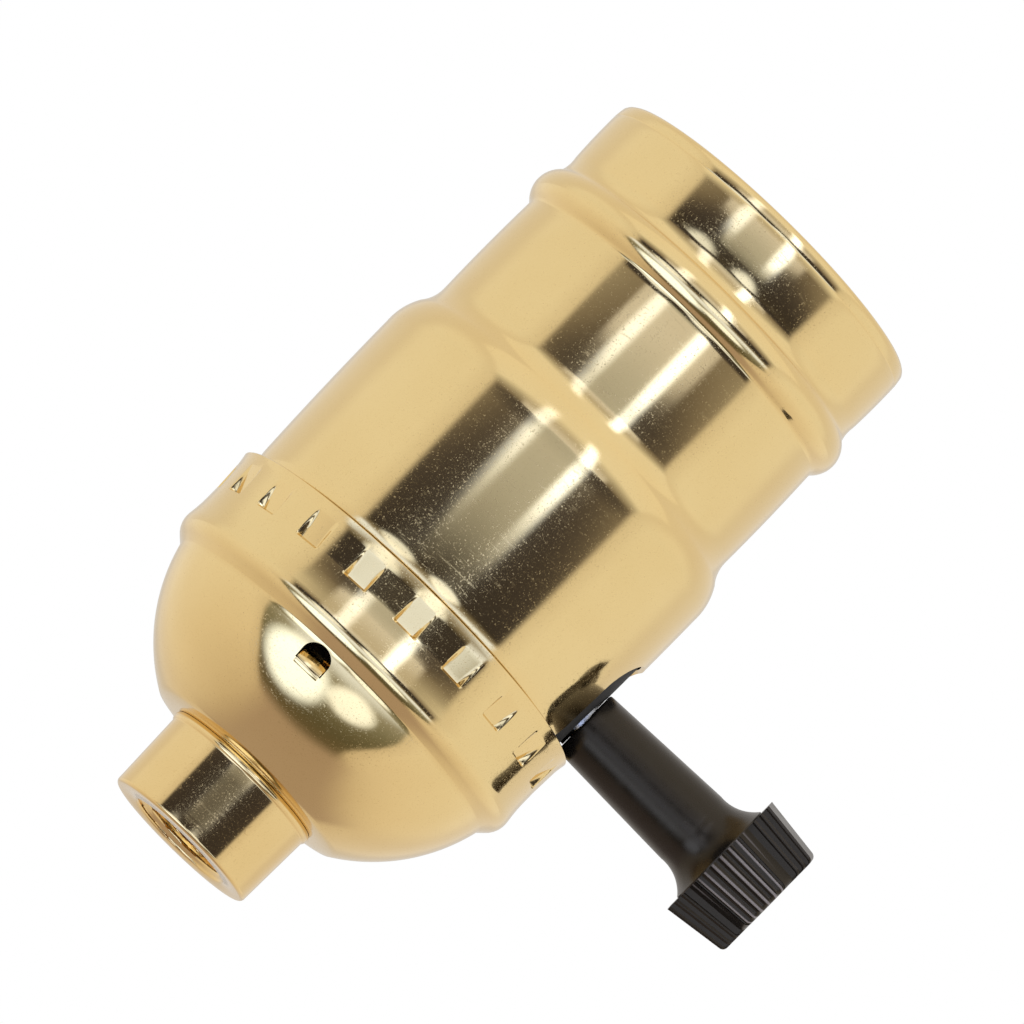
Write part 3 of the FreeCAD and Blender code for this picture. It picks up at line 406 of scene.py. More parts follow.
def wear_group():
    """Shared effect: hairline scratches, a fine speckle and soft cloudy haze."""
    group = bpy.data.node_groups.new("plate_wear", "ShaderNodeTree")
    group.interface.new_socket("Scratches", in_out="INPUT", socket_type="NodeSocketFloat")
    for mark in ("Lines", "Speckle", "Cloud"):
        group.interface.new_socket(mark, in_out="OUTPUT", socket_type="NodeSocketFloat")
    given = put(group, "NodeGroupInput").outputs
    place = put(group, "ShaderNodeTexCoord").outputs["Object"]
    cloud = grain(group, place, CLOUD_SCALE, 4.0)
    speckle = ranged(group, grain(group, place, SPECKLE_SCALE, 2.0), 0.58, 0.72)
    lines = 0.0
    for scale, turn in zip(HAIR_SCALES, HAIR_TURNS):
        drawn_out = put(group, "ShaderNodeMapping",
                        {"Vector": place, "Rotation": turn, "Scale": HAIR_DRAWN_OUT})
        hair = grain(group, drawn_out.outputs[0], scale, 3.0, 0.3)
        lines = math_of(group, "MAXIMUM", lines, ranged(group, hair, 0.64, 0.72))
    lines = math_of(group, "MULTIPLY", lines, given["Scratches"])
    put(group, "NodeGroupOutput", {"Lines": lines, "Speckle": speckle, "Cloud": cloud})
    return group


PLATE_WEAR = wear_group()


def metal(name, bright, dull, smooth, rough, scratches, depth, scuffed=0.12):
    """Plated or bare metal: colour between two tones, roughness raised by haze and wear."""
    material, tree, shader = new_finish(name)
    wear = put(tree, "ShaderNodeGroup", {"Scratches": scratches}, node_tree=PLATE_WEAR)
    lines, speckle, cloud = wear.outputs
    worn = ranged(tree, math_of(tree, "MULTIPLY_ADD", speckle, 0.35, cloud), 0.35, 0.95)
    haze = ranged(tree, worn, 0.0, 1.0, smooth, rough)
    marks = math_of(tree, "MULTIPLY_ADD", lines, 0.8, speckle)
    relief = math_of(tree, "MULTIPLY_ADD", lines, -0.5, speckle)
    feed(tree, shader, {"Metallic": 1.0,
                        "Base Color": two_tone(tree, worn, bright, dull),
                        "Roughness": math_of(tree, "MULTIPLY_ADD", marks, scuffed, haze),
                        "Normal": embossed(tree, relief, depth, WEAR_RISE)})
    return material


plate_brass = metal("plate_brass", (0.80, 0.60, 0.285), (0.76, 0.555, 0.25), smooth=0.075,
                    rough=0.13, scratches=0.6, depth=0.012, scuffed=0.17)
hub_brass = metal("hub_brass", (0.79, 0.575, 0.265), (0.73, 0.51, 0.22), smooth=0.08,
                  rough=0.13, scratches=0.5, depth=0.015)


def dress(piece, material):
    """Gives a piece one material."""
    piece.data.materials.clear()
    piece.data.materials.append(material)


def ride_as(piece, body, slot, *nodes):
    """The piece moves with a body and stands for CAD nodes, which it hides; `slot` is not used."""
    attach(piece, body)
    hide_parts(*nodes)


def threaded_sleeve():
    """The hub's outside with its collar and peened end, and the thread in its bore."""
    entry_r = HUB_R - HUB_DRAFT
    outside = traced((PIPE_ROOT_R + 0.20, 0.0), (entry_r - 0.35, 0.0),
                     ((entry_r - 0.10, 0.10), (entry_r, 0.35)),
                     ((HUB_R, HUB_LENGTH - 0.10), 6),
                     ((HUB_R + 0.02, HUB_LENGTH + 0.02), (HUB_R + 0.09, HUB_LENGTH + 0.10)),
                     ((COLLAR_R, HUB_LENGTH + 0.42), (COLLAR_R - 0.10, CROWN_Z - 0.03)),
                     (HUB_WAIST_R, CROWN_Z), (HUB_WAIST_R, PEEN_Z),
                     (PEEN_R, PEEN_Z), ((PEEN_R - 0.05, PEEN_Z + 0.50), (PEEN_R - 0.35, HUB_TOP)),
                     (PIPE_ROOT_R + 0.22, HUB_TOP), pitch=0.07)
    inside = [(PIPE_ROOT_R, float(z))
              for z in np.linspace(HUB_TOP - 0.12, 0.12, PIPE_STATIONS + 1)]

    def cut_thread(phi, radius, height):
        within = np.isclose(radius, PIPE_ROOT_R)
        phase = (height / PIPE_PITCH - phi / (2 * math.pi)) % 1.0
        ridge = np.clip(1.35 - 2.7 * np.abs(phase - 0.5), 0.0, 1.0)
        fade = np.clip(np.minimum(height - 0.1, HUB_TOP - 0.1 - height) / 0.45, 0.0, 1.0)
        threaded = PIPE_ROOT_R - (PIPE_ROOT_R - PIPE_CREST_R) * ridge * fade
        return np.where(within, threaded, radius), height

    return turned("hub_sleeve", outside + inside, all_round(HUB_COLUMNS), cut_thread, 50.0)


hub = threaded_sleeve()
dress(hub, hub_brass)
ride_as(hub, "holder", "brass_hub", "cap_bushing")


# ---- Cap: one drawn sheet of brass. Dome, hollow crease, rounded bulge and a skirt whose
# twenty pressed dimples hold the shell, with a keyhole whose tongue is pushed inward.
CAP_GAUGE = 0.45
CAP_TOP = 27.95
CAP_TOP_R = 19.11
SKIRT_R = 18.84
DOME_FOOT, DOME_MIDDLE, DOME_TOP = (10.28, CROWN_Z + 0.28), (14.92, 12.55), (17.74, 18.57)
BULGE_R = 19.02
DIMPLES = 20
DIMPLE_PHASE = math.radians(-86.6)
DIMPLE_HALF = 1.22
DIMPLE_LOW = 24.15
DIMPLE_HEIGHT = 2.80
DIMPLE_DEPTH = 0.60
DIMPLE_SIDE, DIMPLE_STEP = 0.40, 0.24           # widths of its sides and of the step at its foot
KEYHOLE_ANGLE = math.radians(-98.5)
KEYHOLE_Z = 17.35
KEYHOLE_HALF, KEYHOLE_ARCH = 1.45, 1.20
KEYHOLE_FOOT, KEYHOLE_SPRING = KEYHOLE_Z - 1.10, KEYHOLE_Z - 0.10
TONGUE_HALF, TONGUE_EDGE, TONGUE_ROUNDING = 1.32, 0.07, 0.06


def offset_inward(outline, gauge):
    """Same number of points, moved to the left of the way the outline runs."""
    points = np.array(outline)
    along = np.gradient(points, axis=0)
    along /= np.linalg.norm(along, axis=1)[:, None]
    normal = np.stack([-along[:, 1], along[:, 0]], axis=1)
    return [tuple(p) for p in points + normal * gauge]


def walled(outline, gauge, edge=0.12):
    """Closed outline of a sheet: outside, a softly broken edge, inside and back."""
    inner = offset_inward(outline, gauge)[::-1]

    def broken_edge(a, b, before):
        """Two points between a and b, moved on from `before` past a."""
        (ax, ay), (bx, by), (px, py) = a, b, before
        length = math.hypot(ax - px, ay - py)
        dx, dy = (ax - px) / length * edge * gauge, (ay - py) / length * edge * gauge
        return [(ax + (bx - ax) * s + dx, ay + (by - ay) * s + dy) for s in (0.2, 0.8)]

    top = broken_edge(outline[-1], inner[0], outline[-2])
    foot = broken_edge(outline[0], inner[-1], outline[1])[::-1]
    return outline + top + inner + foot


def eased(share):
    """A share from 0 to 1 with a soft start and end."""
    share = np.clip(share, 0.0, 1.0)
    return share * share * (3 - 2 * share)


def dimpled(phi, radius, height):
    """Presses the skirt's dimples in: none at their top, a steep step at their foot."""
    period = 2 * math.pi / DIMPLES
    across = ((phi - DIMPLE_PHASE + period / 2) % period - period / 2) * SKIRT_R
    side = eased((DIMPLE_HALF + 0.12 - np.abs(across)) / DIMPLE_SIDE)
    slope = np.clip(1.0 - (height - DIMPLE_LOW) / DIMPLE_HEIGHT, 0.0, 1.0)
    step = eased((height - DIMPLE_LOW + 0.14) / DIMPLE_STEP)
    below_rim = height < CAP_TOP - 0.5
    return radius - DIMPLE_DEPTH * side * slope * step * below_rim, height


def dimple_columns():
    """Angles that crowd at the sides of each dimple and spread between them."""
    half = math.degrees(DIMPLE_HALF / SKIRT_R)
    one_side = [0.0, half * 0.35, half * 0.65]
    one_side += [half + d for d in (-1.10, -0.72, -0.50, -0.28, -0.08, 0.12, 0.32, 0.60, 1.7, 3.3)]
    period = 360.0 / DIMPLES
    marks = sorted({round(s * o, 4) for o in one_side for s in (1, -1)}) + [period / 2]
    return [DIMPLE_PHASE + math.radians(period * k + m) for k in range(DIMPLES) for m in marks]


def cut_away(piece, cutter):
    """Boolean difference, applied, with the cutter removed."""
    change = piece.modifiers.new("cut", "BOOLEAN")
    change.operation = "DIFFERENCE"
    change.solver = "EXACT"
    change.object = cutter
    graph = bpy.context.evaluated_depsgraph_get()
    result = bpy.data.meshes.new_from_object(piece.evaluated_get(graph))
    piece.modifiers.clear()
    piece.data = result
    bpy.data.objects.remove(cutter)
    work = bmesh.new()
    work.from_mesh(result)
    shade(result, work, 32.0)


def bar(name, section, near, far, angle=0.0):
    """Straight bar with a (Y, Z) section, along X between two distances, turned about Z."""
    ends = [Vector((reach, y, z)) * MM for reach in (near, far) for y, z in section]
    count = len(section)
    faces = [tuple(range(count))[::-1], tuple(range(count, 2 * count))]
    faces += [(k, (k + 1) % count, count + (k + 1) % count, count + k) for k in range(count)]
    turn = Matrix.Rotation(angle, 3, "Z")
    return mesh_piece(name, [turn @ v for v in ends], faces)


def keyhole_cutter():
    """A bar with a round top and a flat foot, along the radius through the dome."""
    arch = [(KEYHOLE_HALF * math.cos(t), KEYHOLE_SPRING + KEYHOLE_ARCH * math.sin(t))
            for t in np.linspace(0, math.pi, 25)]
    section = [(KEYHOLE_HALF, KEYHOLE_FOOT)] + arch + [(-KEYHOLE_HALF, KEYHOLE_FOOT)]
    return bar("keyhole_cutter", section, 12.0, 21.0, KEYHOLE_ANGLE)


def keyhole_tongue():
    """The metal of the keyhole, still joined at its foot and bent in."""
    path = traced((16.86, KEYHOLE_Z - 1.50),
                  ((17.02, KEYHOLE_Z - 1.02), (16.96, KEYHOLE_Z - 0.70)),
                  (16.30, KEYHOLE_Z + 0.45), pitch=0.08)
    loop = walled(path, CAP_GAUGE)
    middle_r, middle_z = np.mean(loop, axis=0)
    inner_half = TONGUE_HALF - TONGUE_EDGE
    rows = ((-TONGUE_HALF, TONGUE_ROUNDING), (-inner_half, 0.0),
            (inner_half, 0.0), (TONGUE_HALF, TONGUE_ROUNDING))
    vertices = [Vector((r + (middle_r - r) * squeeze, y, z + (middle_z - z) * squeeze)) * MM
                for y, squeeze in rows for r, z in loop]
    count = len(loop)
    faces = grid_faces(len(rows), count)
    faces += [tuple(range(count)), tuple(range(3 * count, 4 * count))[::-1]]
    turn = Matrix.Rotation(KEYHOLE_ANGLE, 3, "Z")
    return mesh_piece("keyhole_tongue", [turn @ v for v in vertices], faces)


def joined(piece, other):
    """Adds another piece's mesh to a piece's."""
    work = bmesh.new()
    work.from_mesh(piece.data)
    work.from_mesh(other.data)
    bpy.data.objects.remove(other)
    work.to_mesh(piece.data)
    work.free()
    return piece


def make_cap():
    """The cap's sheet, dimpled, with its keyhole cut and the tongue left in it."""
    low, top = DIMPLE_LOW, DIMPLE_LOW + DIMPLE_HEIGHT
    dimple_foot = [(SKIRT_R, low + d)
                   for d in (-0.45, -0.20, -0.14, -0.08, -0.02, 0.04, 0.10, 0.22)]
    outline = traced((6.35, CROWN_Z), (8.0, CROWN_Z),
                     ((9.19, CROWN_Z + 0.08), DOME_FOOT),
                     (DOME_MIDDLE, DOME_TOP),
                     (17.81, 18.68), (18.40, 19.24),
                     ((18.82, 19.78), (19.00, 20.35)),
                     ((BULGE_R, 20.60), (18.99, 21.05)),
                     (18.92, 21.60), (18.86, 22.30), (SKIRT_R, 23.00), *dimple_foot,
                     ((SKIRT_R + 0.11, top - 0.10), 8), (SKIRT_R + 0.12, top + 0.04),
                     (SKIRT_R + 0.19, 27.50), (CAP_TOP_R, CAP_TOP), pitch=0.42)
    piece = turned("cap_shell", walled(outline, CAP_GAUGE), dimple_columns(), dimpled)
    cut_away(piece, keyhole_cutter())
    return joined(piece, keyhole_tongue())


cap = make_cap()
dress(cap, plate_brass)
ride_as(cap, "holder", "brass_plate", "cap")


# ---- Outer shell: drawn brass, pushed into the cap. It steps in at the shoulder, has one
# rolled bead, a short flared collar and a curled mouth, and a U-shaped slot for the knob.
SHELL_GAUGE = 0.40
SHELL_COLUMNS = 320
# Foot, middle and top of each slightly bowed stretch, as radius and height.
BARREL = ((18.14, 29.6), (18.37, 37.6), (18.43, 44.9))
THROAT = ((16.87, 50.4), (16.90, 55.3), (16.79, 60.6))
COLLAR = ((16.66, 66.4), (16.74, 68.4), (16.735, 71.3))
BEAD_R, BEAD_Z = 17.72, 62.80
MOUTH_TOP = 72.67
SLOT_HALF = 6.75
SLOT_CORNER = 4.40
SLOT_FOOT = 15.0
SWITCH_Z = 31.77
SLOT_TOP = SWITCH_Z + SLOT_HALF


def bowed(stretch, heights):
    """Points at given heights on the parabola through a stretch's three places."""
    radii, levels = zip(*stretch)
    curve = np.polyfit(levels, radii, 2)
    return [(float(np.polyval(curve, z)), float(z)) for z in heights]


def shell_outline():
    """The shell's outside from its foot in the cap to the curl of its mouth."""
    return traced((17.90, 21.35), (17.90, 21.65), ((18.25, 22.40), (17.90, 23.15)),
                  (17.80, 23.65), (17.80, 27.30), (17.88, 27.95),
                  ((18.05, 28.70), BARREL[0]), *bowed(BARREL, np.linspace(30.6, 44.9, 14)),
                  ((18.27, 46.50), (17.70, 47.90)),
                  ((17.12, 48.90), THROAT[0]), *bowed(THROAT, np.linspace(50.4, 60.2, 10))[1:],
                  (16.79, 60.72), ((16.83, 60.90), (16.98, 61.14)),
                  ((BEAD_R, BEAD_Z), (16.96, 64.48)),
                  (16.80, 64.66), ((16.66, 65.20), COLLAR[0]),
                  *bowed(COLLAR, (67.3, 68.4, 69.5, 70.6, 71.2)),
                  (16.70, 71.32), (16.735, 71.44),
                  (16.66, 72.05), ((16.48, 72.50), (15.80, MOUTH_TOP)), pitch=0.26)


def slot_cutter():
    """A bar with rounded upper corners that opens the shell's side down to its end."""
    inner = SLOT_HALF - SLOT_CORNER
    right = [(SLOT_HALF, SLOT_FOOT)]
    right += [(inner + SLOT_CORNER * math.cos(t), SLOT_TOP - SLOT_CORNER * (1 - math.sin(t)))
              for t in np.linspace(0, math.pi / 2, 13)]
    return bar("slot_cutter", right + [(-y, z) for y, z in right[::-1]], 10.0, 22.0)


shell = turned("socket_shell", walled(shell_outline(), SHELL_GAUGE), all_round(SHELL_COLUMNS))
cut_away(shell, slot_cutter())
dress(shell, plate_brass)
ride_as(shell, "holder", "brass_plate", "outer_shell")


# ---- Liner: a rolled sleeve of dark pressed fibre, slid up inside the shell, that keeps the
# live parts off the brass and lines the mouth.
def fibre(name, dark, light, scale):
    """Pressed fibre: short matted strands, matt, with a soft relief."""
    material, tree, shader = new_finish(name)
    place = put(tree, "ShaderNodeTexCoord").outputs["Object"]
    strands = grain(tree, place, scale, 6.0, 1.6)
    feed(tree, shader, {"Roughness": 0.78,
                        "Base Color": two_tone(tree, strands, dark, light),
                        "Normal": embossed(tree, strands, 0.5, 0.00004)})
    return material


liner_fibre = fibre("liner_fibre", (0.012, 0.011, 0.010), (0.032, 0.029, 0.026), scale=900.0)


def finish_nodes(material, *nodes):
    """Gives CAD nodes their finish; their meshes stay as they are."""
    for node in nodes:
        dress(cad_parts[node], material)


finish_nodes(liner_fibre, "shell_liner")


# ---- Moulded body, cover and rotor: thermoset mouldings, matt with a faint flow texture.
# The switch's shaft turns in a washer of the liner's fibre.
def moulded(name, base, fleck, rough, scale, depth, sheen=(1.0, 1.0, 1.0), gloss=0.5):
    """Moulded plastic: an even colour with fine flecks and a slight orange-peel skin."""
    material, tree, shader = new_finish(name)
    place = put(tree, "ShaderNodeTexCoord").outputs["Object"]
    skin = grain(tree, place, scale, 3.0)
    feed(tree, shader, {"Specular Tint": (*sheen, 1.0),
                        "Specular IOR Level": gloss,
                        "Base Color": two_tone(tree, skin, base, fleck),
                        "Roughness": ranged(tree, skin, 0.0, 1.0, rough - 0.08, rough + 0.10),
                        "Normal": embossed(tree, skin, depth, 0.00003)})
    return material


body_black = moulded("body_black", (0.020, 0.019, 0.018), (0.034, 0.032, 0.030),
                     rough=0.45, scale=700.0, depth=0.35)
rotor_cream = moulded("rotor_cream", (0.62, 0.59, 0.50), (0.70, 0.67, 0.58),
                      rough=0.5, scale=900.0, depth=0.3)
finish_nodes(body_black, "switch_body", "body_cover")
finish_nodes(rotor_cream, "switch_rotor")
finish_nodes(liner_fibre, "shaft_washer")


# ---- Screw shell: thin aluminium rolled into the lamp's thread, seven turns to the inch,
# with a flat floor and a mouth flared to guide the lamp in.
SCREW_FLOOR = 45.77
SCREW_TOP = 70.77
SCREW_GAUGE = 0.35
SCREW_WALL_R = 12.70
SCREW_MOUTH_R = 13.50
SCREW_COLUMNS = 240
LAMP_PITCH = 25.4 / 7
LAMP_ROOT_R = 12.35
LAMP_CREST_R = 13.20
THREAD_START, THREAD_END = SCREW_FLOOR + 2.10, SCREW_TOP - 1.90
THREAD_FADE = 1.6


def make_screw_shell():
    """A floor with a hole, a wall rolled into a round thread, and a flared mouth."""
    outline = traced((6.20, SCREW_FLOOR), (11.90, SCREW_FLOOR),
                     ((12.47, SCREW_FLOOR + 0.23), (SCREW_WALL_R, SCREW_FLOOR + 0.80)),
                     ((SCREW_WALL_R, SCREW_TOP - 1.60), 96),
                     ((13.05, SCREW_TOP - 1.05), (SCREW_MOUTH_R, SCREW_TOP - 0.80)),
                     (SCREW_MOUTH_R, SCREW_TOP - 0.05), pitch=0.2)

    def rolled(phi, radius, height):
        from_ends = np.minimum(height - THREAD_START, THREAD_END - height)
        fade = np.clip(from_ends / THREAD_FADE, 0.0, 1.0)
        turns = (height / LAMP_PITCH - phi / (2 * math.pi)) % 1.0
        depth = (LAMP_CREST_R - LAMP_ROOT_R) * (0.5 - 0.5 * np.cos(2 * math.pi * turns)) * fade
        return np.where(radius > 11.0, radius + depth, radius), height

    return turned("lamp_screw_shell", walled(outline, SCREW_GAUGE),
                  all_round(SCREW_COLUMNS), rolled)


rolled_aluminium = metal("rolled_aluminium", (0.86, 0.865, 0.87), (0.70, 0.705, 0.71),
                         smooth=0.16, rough=0.34, scratches=1.0, depth=0.3)
screw_shell = make_screw_shell()
dress(screw_shell, rolled_aluminium)
ride_as(screw_shell, "holder", "aluminium", "screw_shell")


# ---- Fibre washer, blades, terminals, shaft, spring and the lamp's contact: small stamped
# and turned parts of bare brass, with nickel plate on the neutral side and spring steel.
bare_brass = metal("bare_brass", (0.72, 0.50, 0.21), (0.52, 0.34, 0.13),
                   smooth=0.22, rough=0.42, scratches=1.0, depth=0.4)
nickel = metal("nickel", (0.78, 0.76, 0.72), (0.62, 0.60, 0.57),
               smooth=0.14, rough=0.30, scratches=0.8, depth=0.3)
spring_steel = metal("spring_steel", (0.50, 0.50, 0.51), (0.36, 0.36, 0.37),
                     smooth=0.2, rough=0.38, scratches=1.0, depth=0.3)
washer_fibre = fibre("washer_fibre", (0.16, 0.045, 0.030), (0.25, 0.085, 0.055), scale=1100.0)
finish_nodes(washer_fibre, "fibre_washer")
finish_nodes(bare_brass, "hot_terminal", "hot_terminal_screw", "load_blade", "blade_rivet",
             "rotor_contact", "centre_contact")
finish_nodes(nickel, "neutral_terminal", "neutral_terminal_screw", "switch_shaft")
finish_nodes(spring_steel, "detent_spring", "shaft_ferrule")


# ---- Shell rivets: two long rivets from the screw shell's floor to the underside of the
# body, each a shank with a low domed head at either end.
RIVETS = 2
RIVET_FOOT = 19.02
RIVET_ANGLE = math.radians(45.0)
RIVET_SIZES = {"Reach": 9.70, "Shank Radius": 1.10, "Head Radius": 1.75, "Head Rise": 0.78,
               "Length": SCREW_FLOOR + SCREW_GAUGE - RIVET_FOOT}
RIVET_SIDES, RIVET_RINGS = 48, 24


def rivet_row():
    """Node tree: rivets along Z in a row along X, from -reach to +reach, standing at Z = 0."""
    tree = bpy.data.node_groups.new("rivet_row", "GeometryNodeTree")
    sockets = [("Geometry", "Geometry"), ("Count", "Int")]
    sockets += [(name, "Float") for name in RIVET_SIZES] + [("Material", "Material")]
    for name, kind in sockets:
        tree.interface.new_socket(name, in_out="INPUT", socket_type="NodeSocket" + kind)
    tree.interface.new_socket("Geometry", in_out="OUTPUT", socket_type="NodeSocketGeometry")
    given = put(tree, "NodeGroupInput").outputs

    shank = put(tree, "GeometryNodeMeshCylinder",
                {"Vertices": RIVET_SIDES, "Radius": given["Shank Radius"],
                 "Depth": given["Length"]}).outputs["Mesh"]
    head = put(tree, "GeometryNodeMeshUVSphere",
               {"Segments": RIVET_SIDES, "Rings": RIVET_RINGS,
                "Radius": given["Head Radius"]}).outputs["Mesh"]
    squash = math_of(tree, "DIVIDE", given["Head Rise"], given["Head Radius"])
    low_dome = put(tree, "ShaderNodeCombineXYZ", {"X": 1.0, "Y": 1.0, "Z": squash}).outputs[0]
    rivet = put(tree, "GeometryNodeMeshBoolean", operation="UNION")
    for mesh, share, stretch in ((shank, 0.5, (1.0, 1.0, 1.0)), (head, 0.0, low_dome),
                                 (head, 1.0, low_dome)):
        level = math_of(tree, "MULTIPLY", given["Length"], share)
        lift = put(tree, "ShaderNodeCombineXYZ", {"Z": level}).outputs[0]
        lifted = put(tree, "GeometryNodeTransform",
                     {"Geometry": mesh, "Translation": lift, "Scale": stretch})
        tree.links.new(lifted.outputs[0], rivet.inputs["Mesh 2"])

    row = put(tree, "GeometryNodeMeshLine", {"Count": given["Count"]}, mode="END_POINTS")
    for end, side in (("Start Location", -1.0), ("Offset", 1.0)):
        reach = math_of(tree, "MULTIPLY", given["Reach"], side)
        feed(tree, row, {end: put(tree, "ShaderNodeCombineXYZ", {"X": reach}).outputs[0]})
    placed = put(tree, "GeometryNodeInstanceOnPoints",
                 {"Points": row.outputs["Mesh"], "Instance": rivet.outputs["Mesh"]})
    real = put(tree, "GeometryNodeRealizeInstances", {"Geometry": placed.outputs[0]})
    coated = put(tree, "GeometryNodeSetMaterial",
                 {"Geometry": real.outputs[0], "Material": given["Material"]})
    put(tree, "NodeGroupOutput", {"Geometry": coated.outputs[0]})
    return tree


def make_rivets():
    """The row as a plain mesh, turned to where the screw shell's holes are."""
    seed = bpy.data.objects.new("rivet_seed", bpy.data.meshes.new("rivet_seed"))
    scene.collection.objects.link(seed)
    modifier = seed.modifiers.new("rivets", "NODES")
    modifier.node_group = rivet_row()
    values = {name: size * MM for name, size in RIVET_SIZES.items()}
    values.update({"Count": RIVETS, "Material": bare_brass})
    for socket in modifier.node_group.interface.items_tree:
        if socket.in_out == "INPUT" and socket.name in values:
            modifier[socket.identifier] = values[socket.name]
    graph = bpy.context.evaluated_depsgraph_get()
    made = bpy.data.meshes.new_from_object(seed.evaluated_get(graph))
    bpy.data.objects.remove(seed)
    turn = Matrix.Rotation(RIVET_ANGLE, 3, "Z")
    lift = Vector((0.0, 0.0, RIVET_FOOT * MM))
    return mesh_piece("shell_rivet_pair", [turn @ v.co + lift for v in made.vertices],
                      [tuple(face.vertices) for face in made.polygons])


rivets = make_rivets()
dress(rivets, bare_brass)
ride_as(rivets, "holder", "brass_raw", "shell_rivets")


# ---- Knob: black moulded plastic, a round stem that flares into a paddle grip. The grip's
# middle is a fluted bulge between two facets, and its wings carry fine ribs.
KNOB_BASE_X = 17.78
KNOB_ANGLE = math.radians(17.0)
STEM_COLUMNS = 96
STEM_BORE_R, STEM_BORE_END = 1.75, 29.0
HEAD_X = 34.05
HEAD_LENGTH = 6.0
HEAD_TAPER = 0.12                   # how much narrower the grip is at its end, as a share
HEAD_ROUNDING = 0.45
WING_END = 6.28                     # the wings' reach from the axis
WING_HALF = 1.44                    # half their thickness between the ribs
RIB_AT, RIB_STEP, RIB_RISE = 3.55, 0.86, 0.13
FACET_CORNER = (2.36, 2.76)         # across and along, where the bulge begins
RIDGE_R = 3.63
RIDGE_DEPTH = 0.30
RIDGE_STEP = math.radians(16.5)
BULGE_SQUEEZE = 0.95                # the bulge is a little flatter than round


def grip_outline():
    """One side of the grip in (across, along-the-paddle), from one wing's end to the other."""
    wing = []
    for z in np.linspace(WING_END, 3.60, 46):
        rib = RIB_RISE * max(0.0, math.cos(2 * math.pi * (z - RIB_AT) / RIB_STEP))
        ribbed = min(1.0, (WING_END - z) / 0.25) if z > RIB_AT + 0.30 else 0.0
        wing.append((WING_HALF + rib * ribbed, z))
    wing += [(1.48, RIB_AT), (1.62, 3.44), (2.24, 2.84), FACET_CORNER]
    edge = math.atan2(FACET_CORNER[1], FACET_CORNER[0])
    bulge = []
    for t in np.linspace(edge, -edge, 141)[1:-1]:
        crest = 0.5 - 0.5 * math.cos(2 * math.pi * t / RIDGE_STEP)
        inside = min(1.0, (edge - abs(t)) / math.radians(5.0))
        reach = RIDGE_R - RIDGE_DEPTH * (1.0 - crest ** 1.4) * inside
        bulge.append((reach * math.cos(t) * BULGE_SQUEEZE, reach * math.sin(t)))
    return wing + bulge + [(y, -z) for y, z in wing[::-1]]


def make_grip():
    """The grip's outline drawn out along X, narrowing to a rounded, slightly domed end."""
    side = grip_outline()
    section = [(-y, z) for y, z in side] + side[::-1]
    straight = HEAD_LENGTH - 0.02 - HEAD_ROUNDING
    stations = [(x, 0.0) for x in np.linspace(0.0, straight, 12)]
    stations += [(straight + HEAD_ROUNDING * math.sin(t), HEAD_ROUNDING * (1 - math.cos(t)))
                 for t in np.linspace(0.15, 1.0, 7) * math.pi / 2]
    vertices = []
    for x, inset in stations:
        scale = 1.0 - HEAD_TAPER * x / HEAD_LENGTH
        for y, z in section:
            reach = math.hypot(y, z)
            pull = max(0.0, reach * scale - inset) / reach
            vertices.append((HEAD_X + x, y * pull, z * pull))
    count = len(section)
    rim = vertices[-count:]
    for share, lift in ((0.66, 0.01), (0.33, 0.015)):
        vertices += [(x + lift, y * share, z * share) for x, y, z in rim]
    faces = grid_faces(len(stations) + 2, count)
    faces.append(tuple(range(count)))
    centre = len(vertices)
    last = centre - count
    vertices.append((rim[0][0] + 0.015, 0.0, 0.0))
    faces += [(last + k, last + (k + 1) % count, centre) for k in range(count)]
    return vertices, faces


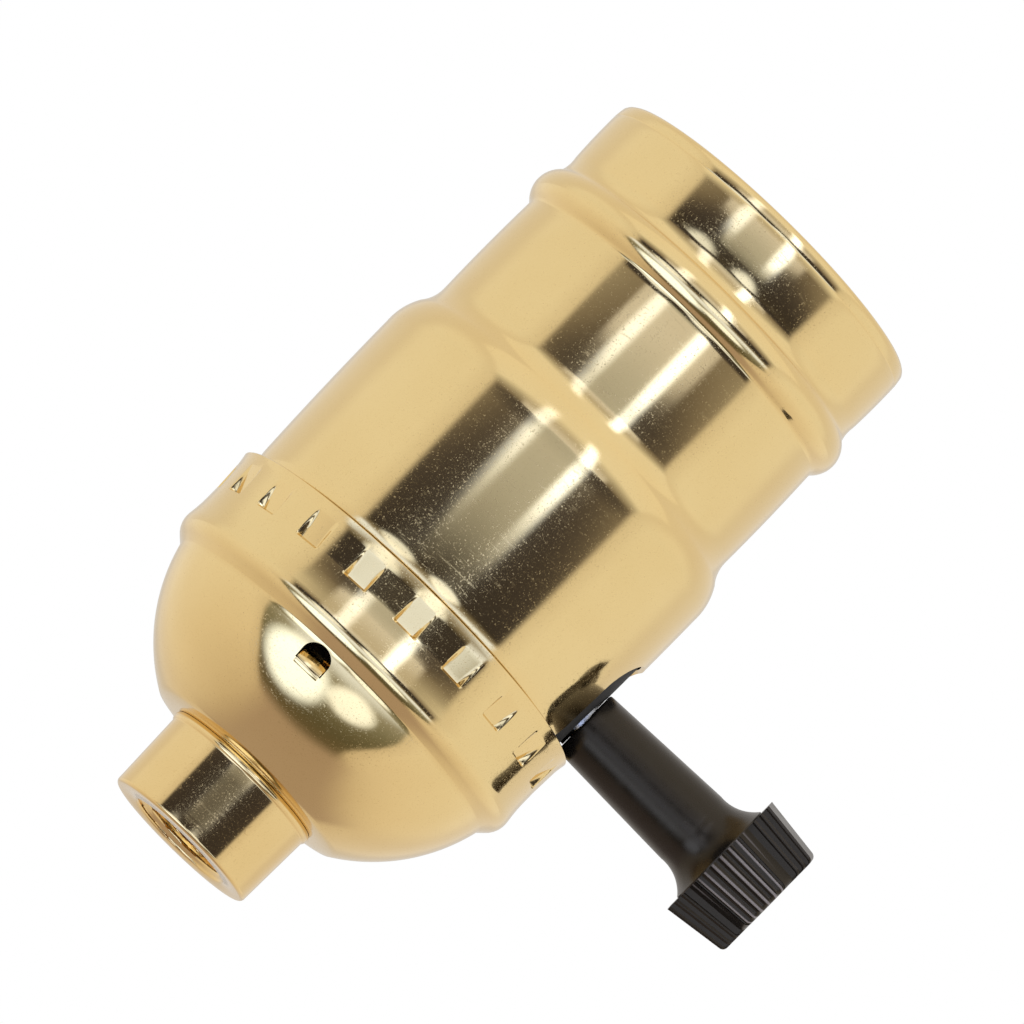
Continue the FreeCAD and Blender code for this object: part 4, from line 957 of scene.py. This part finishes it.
def make_knob():
    """The stem, turned about X, and the grip on its end, both turned to where they rest."""
    stem = traced((0.0, STEM_BORE_END), (STEM_BORE_R, STEM_BORE_END),
                  (STEM_BORE_R, KNOB_BASE_X + 0.3), (2.0, KNOB_BASE_X), (3.07, KNOB_BASE_X),
                  ((3.23, KNOB_BASE_X + 0.06), (3.30, KNOB_BASE_X + 0.22)),
                  ((3.70, 30.60), 10), ((4.10, 32.70), (5.12, HEAD_X - 0.12)),
                  (5.10, HEAD_X), (0.0, HEAD_X), pitch=0.2)
    vertices = [(x, r * math.cos(t), r * math.sin(t)) for r, x in stem
                for t in all_round(STEM_COLUMNS)]
    faces = grid_faces(len(stem), STEM_COLUMNS)
    grip_vertices, grip_faces = make_grip()
    faces += [tuple(k + len(vertices) for k in face) for face in grip_faces]
    vertices += grip_vertices
    turn = Matrix.Rotation(KNOB_ANGLE, 3, "X")
    lift = Vector((0.0, 0.0, SWITCH_Z))
    return mesh_piece("turn_knob", [(turn @ Vector(v) + lift) * MM for v in vertices], faces, 38.0)


def paint_crest_highlights(material, tone):
    """Paints the ridges of the grip's bulge paler along their crests: a painted highlight in place
    of the ridges' glints.
    """
    tree = material.node_tree
    shader = tree.nodes["Principled BSDF"]
    place = put(tree, "ShaderNodeVectorRotate",
                {"Vector": put(tree, "ShaderNodeTexCoord").outputs["Object"],
                 "Center": (0.0, 0.0, SWITCH_Z * MM), "Angle": -KNOB_ANGLE},
                rotation_type="X_AXIS")
    x, y, z = put(tree, "ShaderNodeSeparateXYZ", {0: place.outputs[0]}).outputs
    y = math_of(tree, "ABSOLUTE", math_of(tree, "DIVIDE", y, BULGE_SQUEEZE * MM))
    z = math_of(tree, "MULTIPLY_ADD", z, 1.0 / MM, -SWITCH_Z)
    ridges = math_of(tree, "MULTIPLY", math_of(tree, "ARCTAN2", z, y), 2 * math.pi / RIDGE_STEP)
    valley = math_of(tree, "COSINE", ridges)
    crest = ranged(tree, math_of(tree, "MULTIPLY", valley, -1.0), 0.55, 0.90)
    on_head = ranged(tree, x, (HEAD_X - 0.02) * MM, (HEAD_X + 0.03) * MM)
    on_bulge = math_of(tree, "MULTIPLY", on_head, ranged(tree, y, 1.9, 2.1))
    # Painted highlight: the share of each ridge's crest painted in the pale tone.
    crest_highlight = math_of(tree, "MULTIPLY", crest, on_bulge)
    plain = shader.inputs["Base Color"].links[0].from_socket
    feed(tree, shader, {"Base Color": two_tone(tree, crest_highlight, plain, tone)})


knob_black = moulded("knob_black", (0.006, 0.0052, 0.0048), (0.012, 0.0105, 0.0095),
                     rough=0.27, scale=900.0, depth=0.40, sheen=(1.0, 0.80, 0.55), gloss=0.45)
# Painted highlight: the bulge's ridge crests are painted a pale grey over the black.
paint_crest_highlights(knob_black, tone=(0.25, 0.225, 0.225))
knob = make_knob()
dress(knob, knob_black)
ride_as(knob, "knob", "knob_black", "knob")
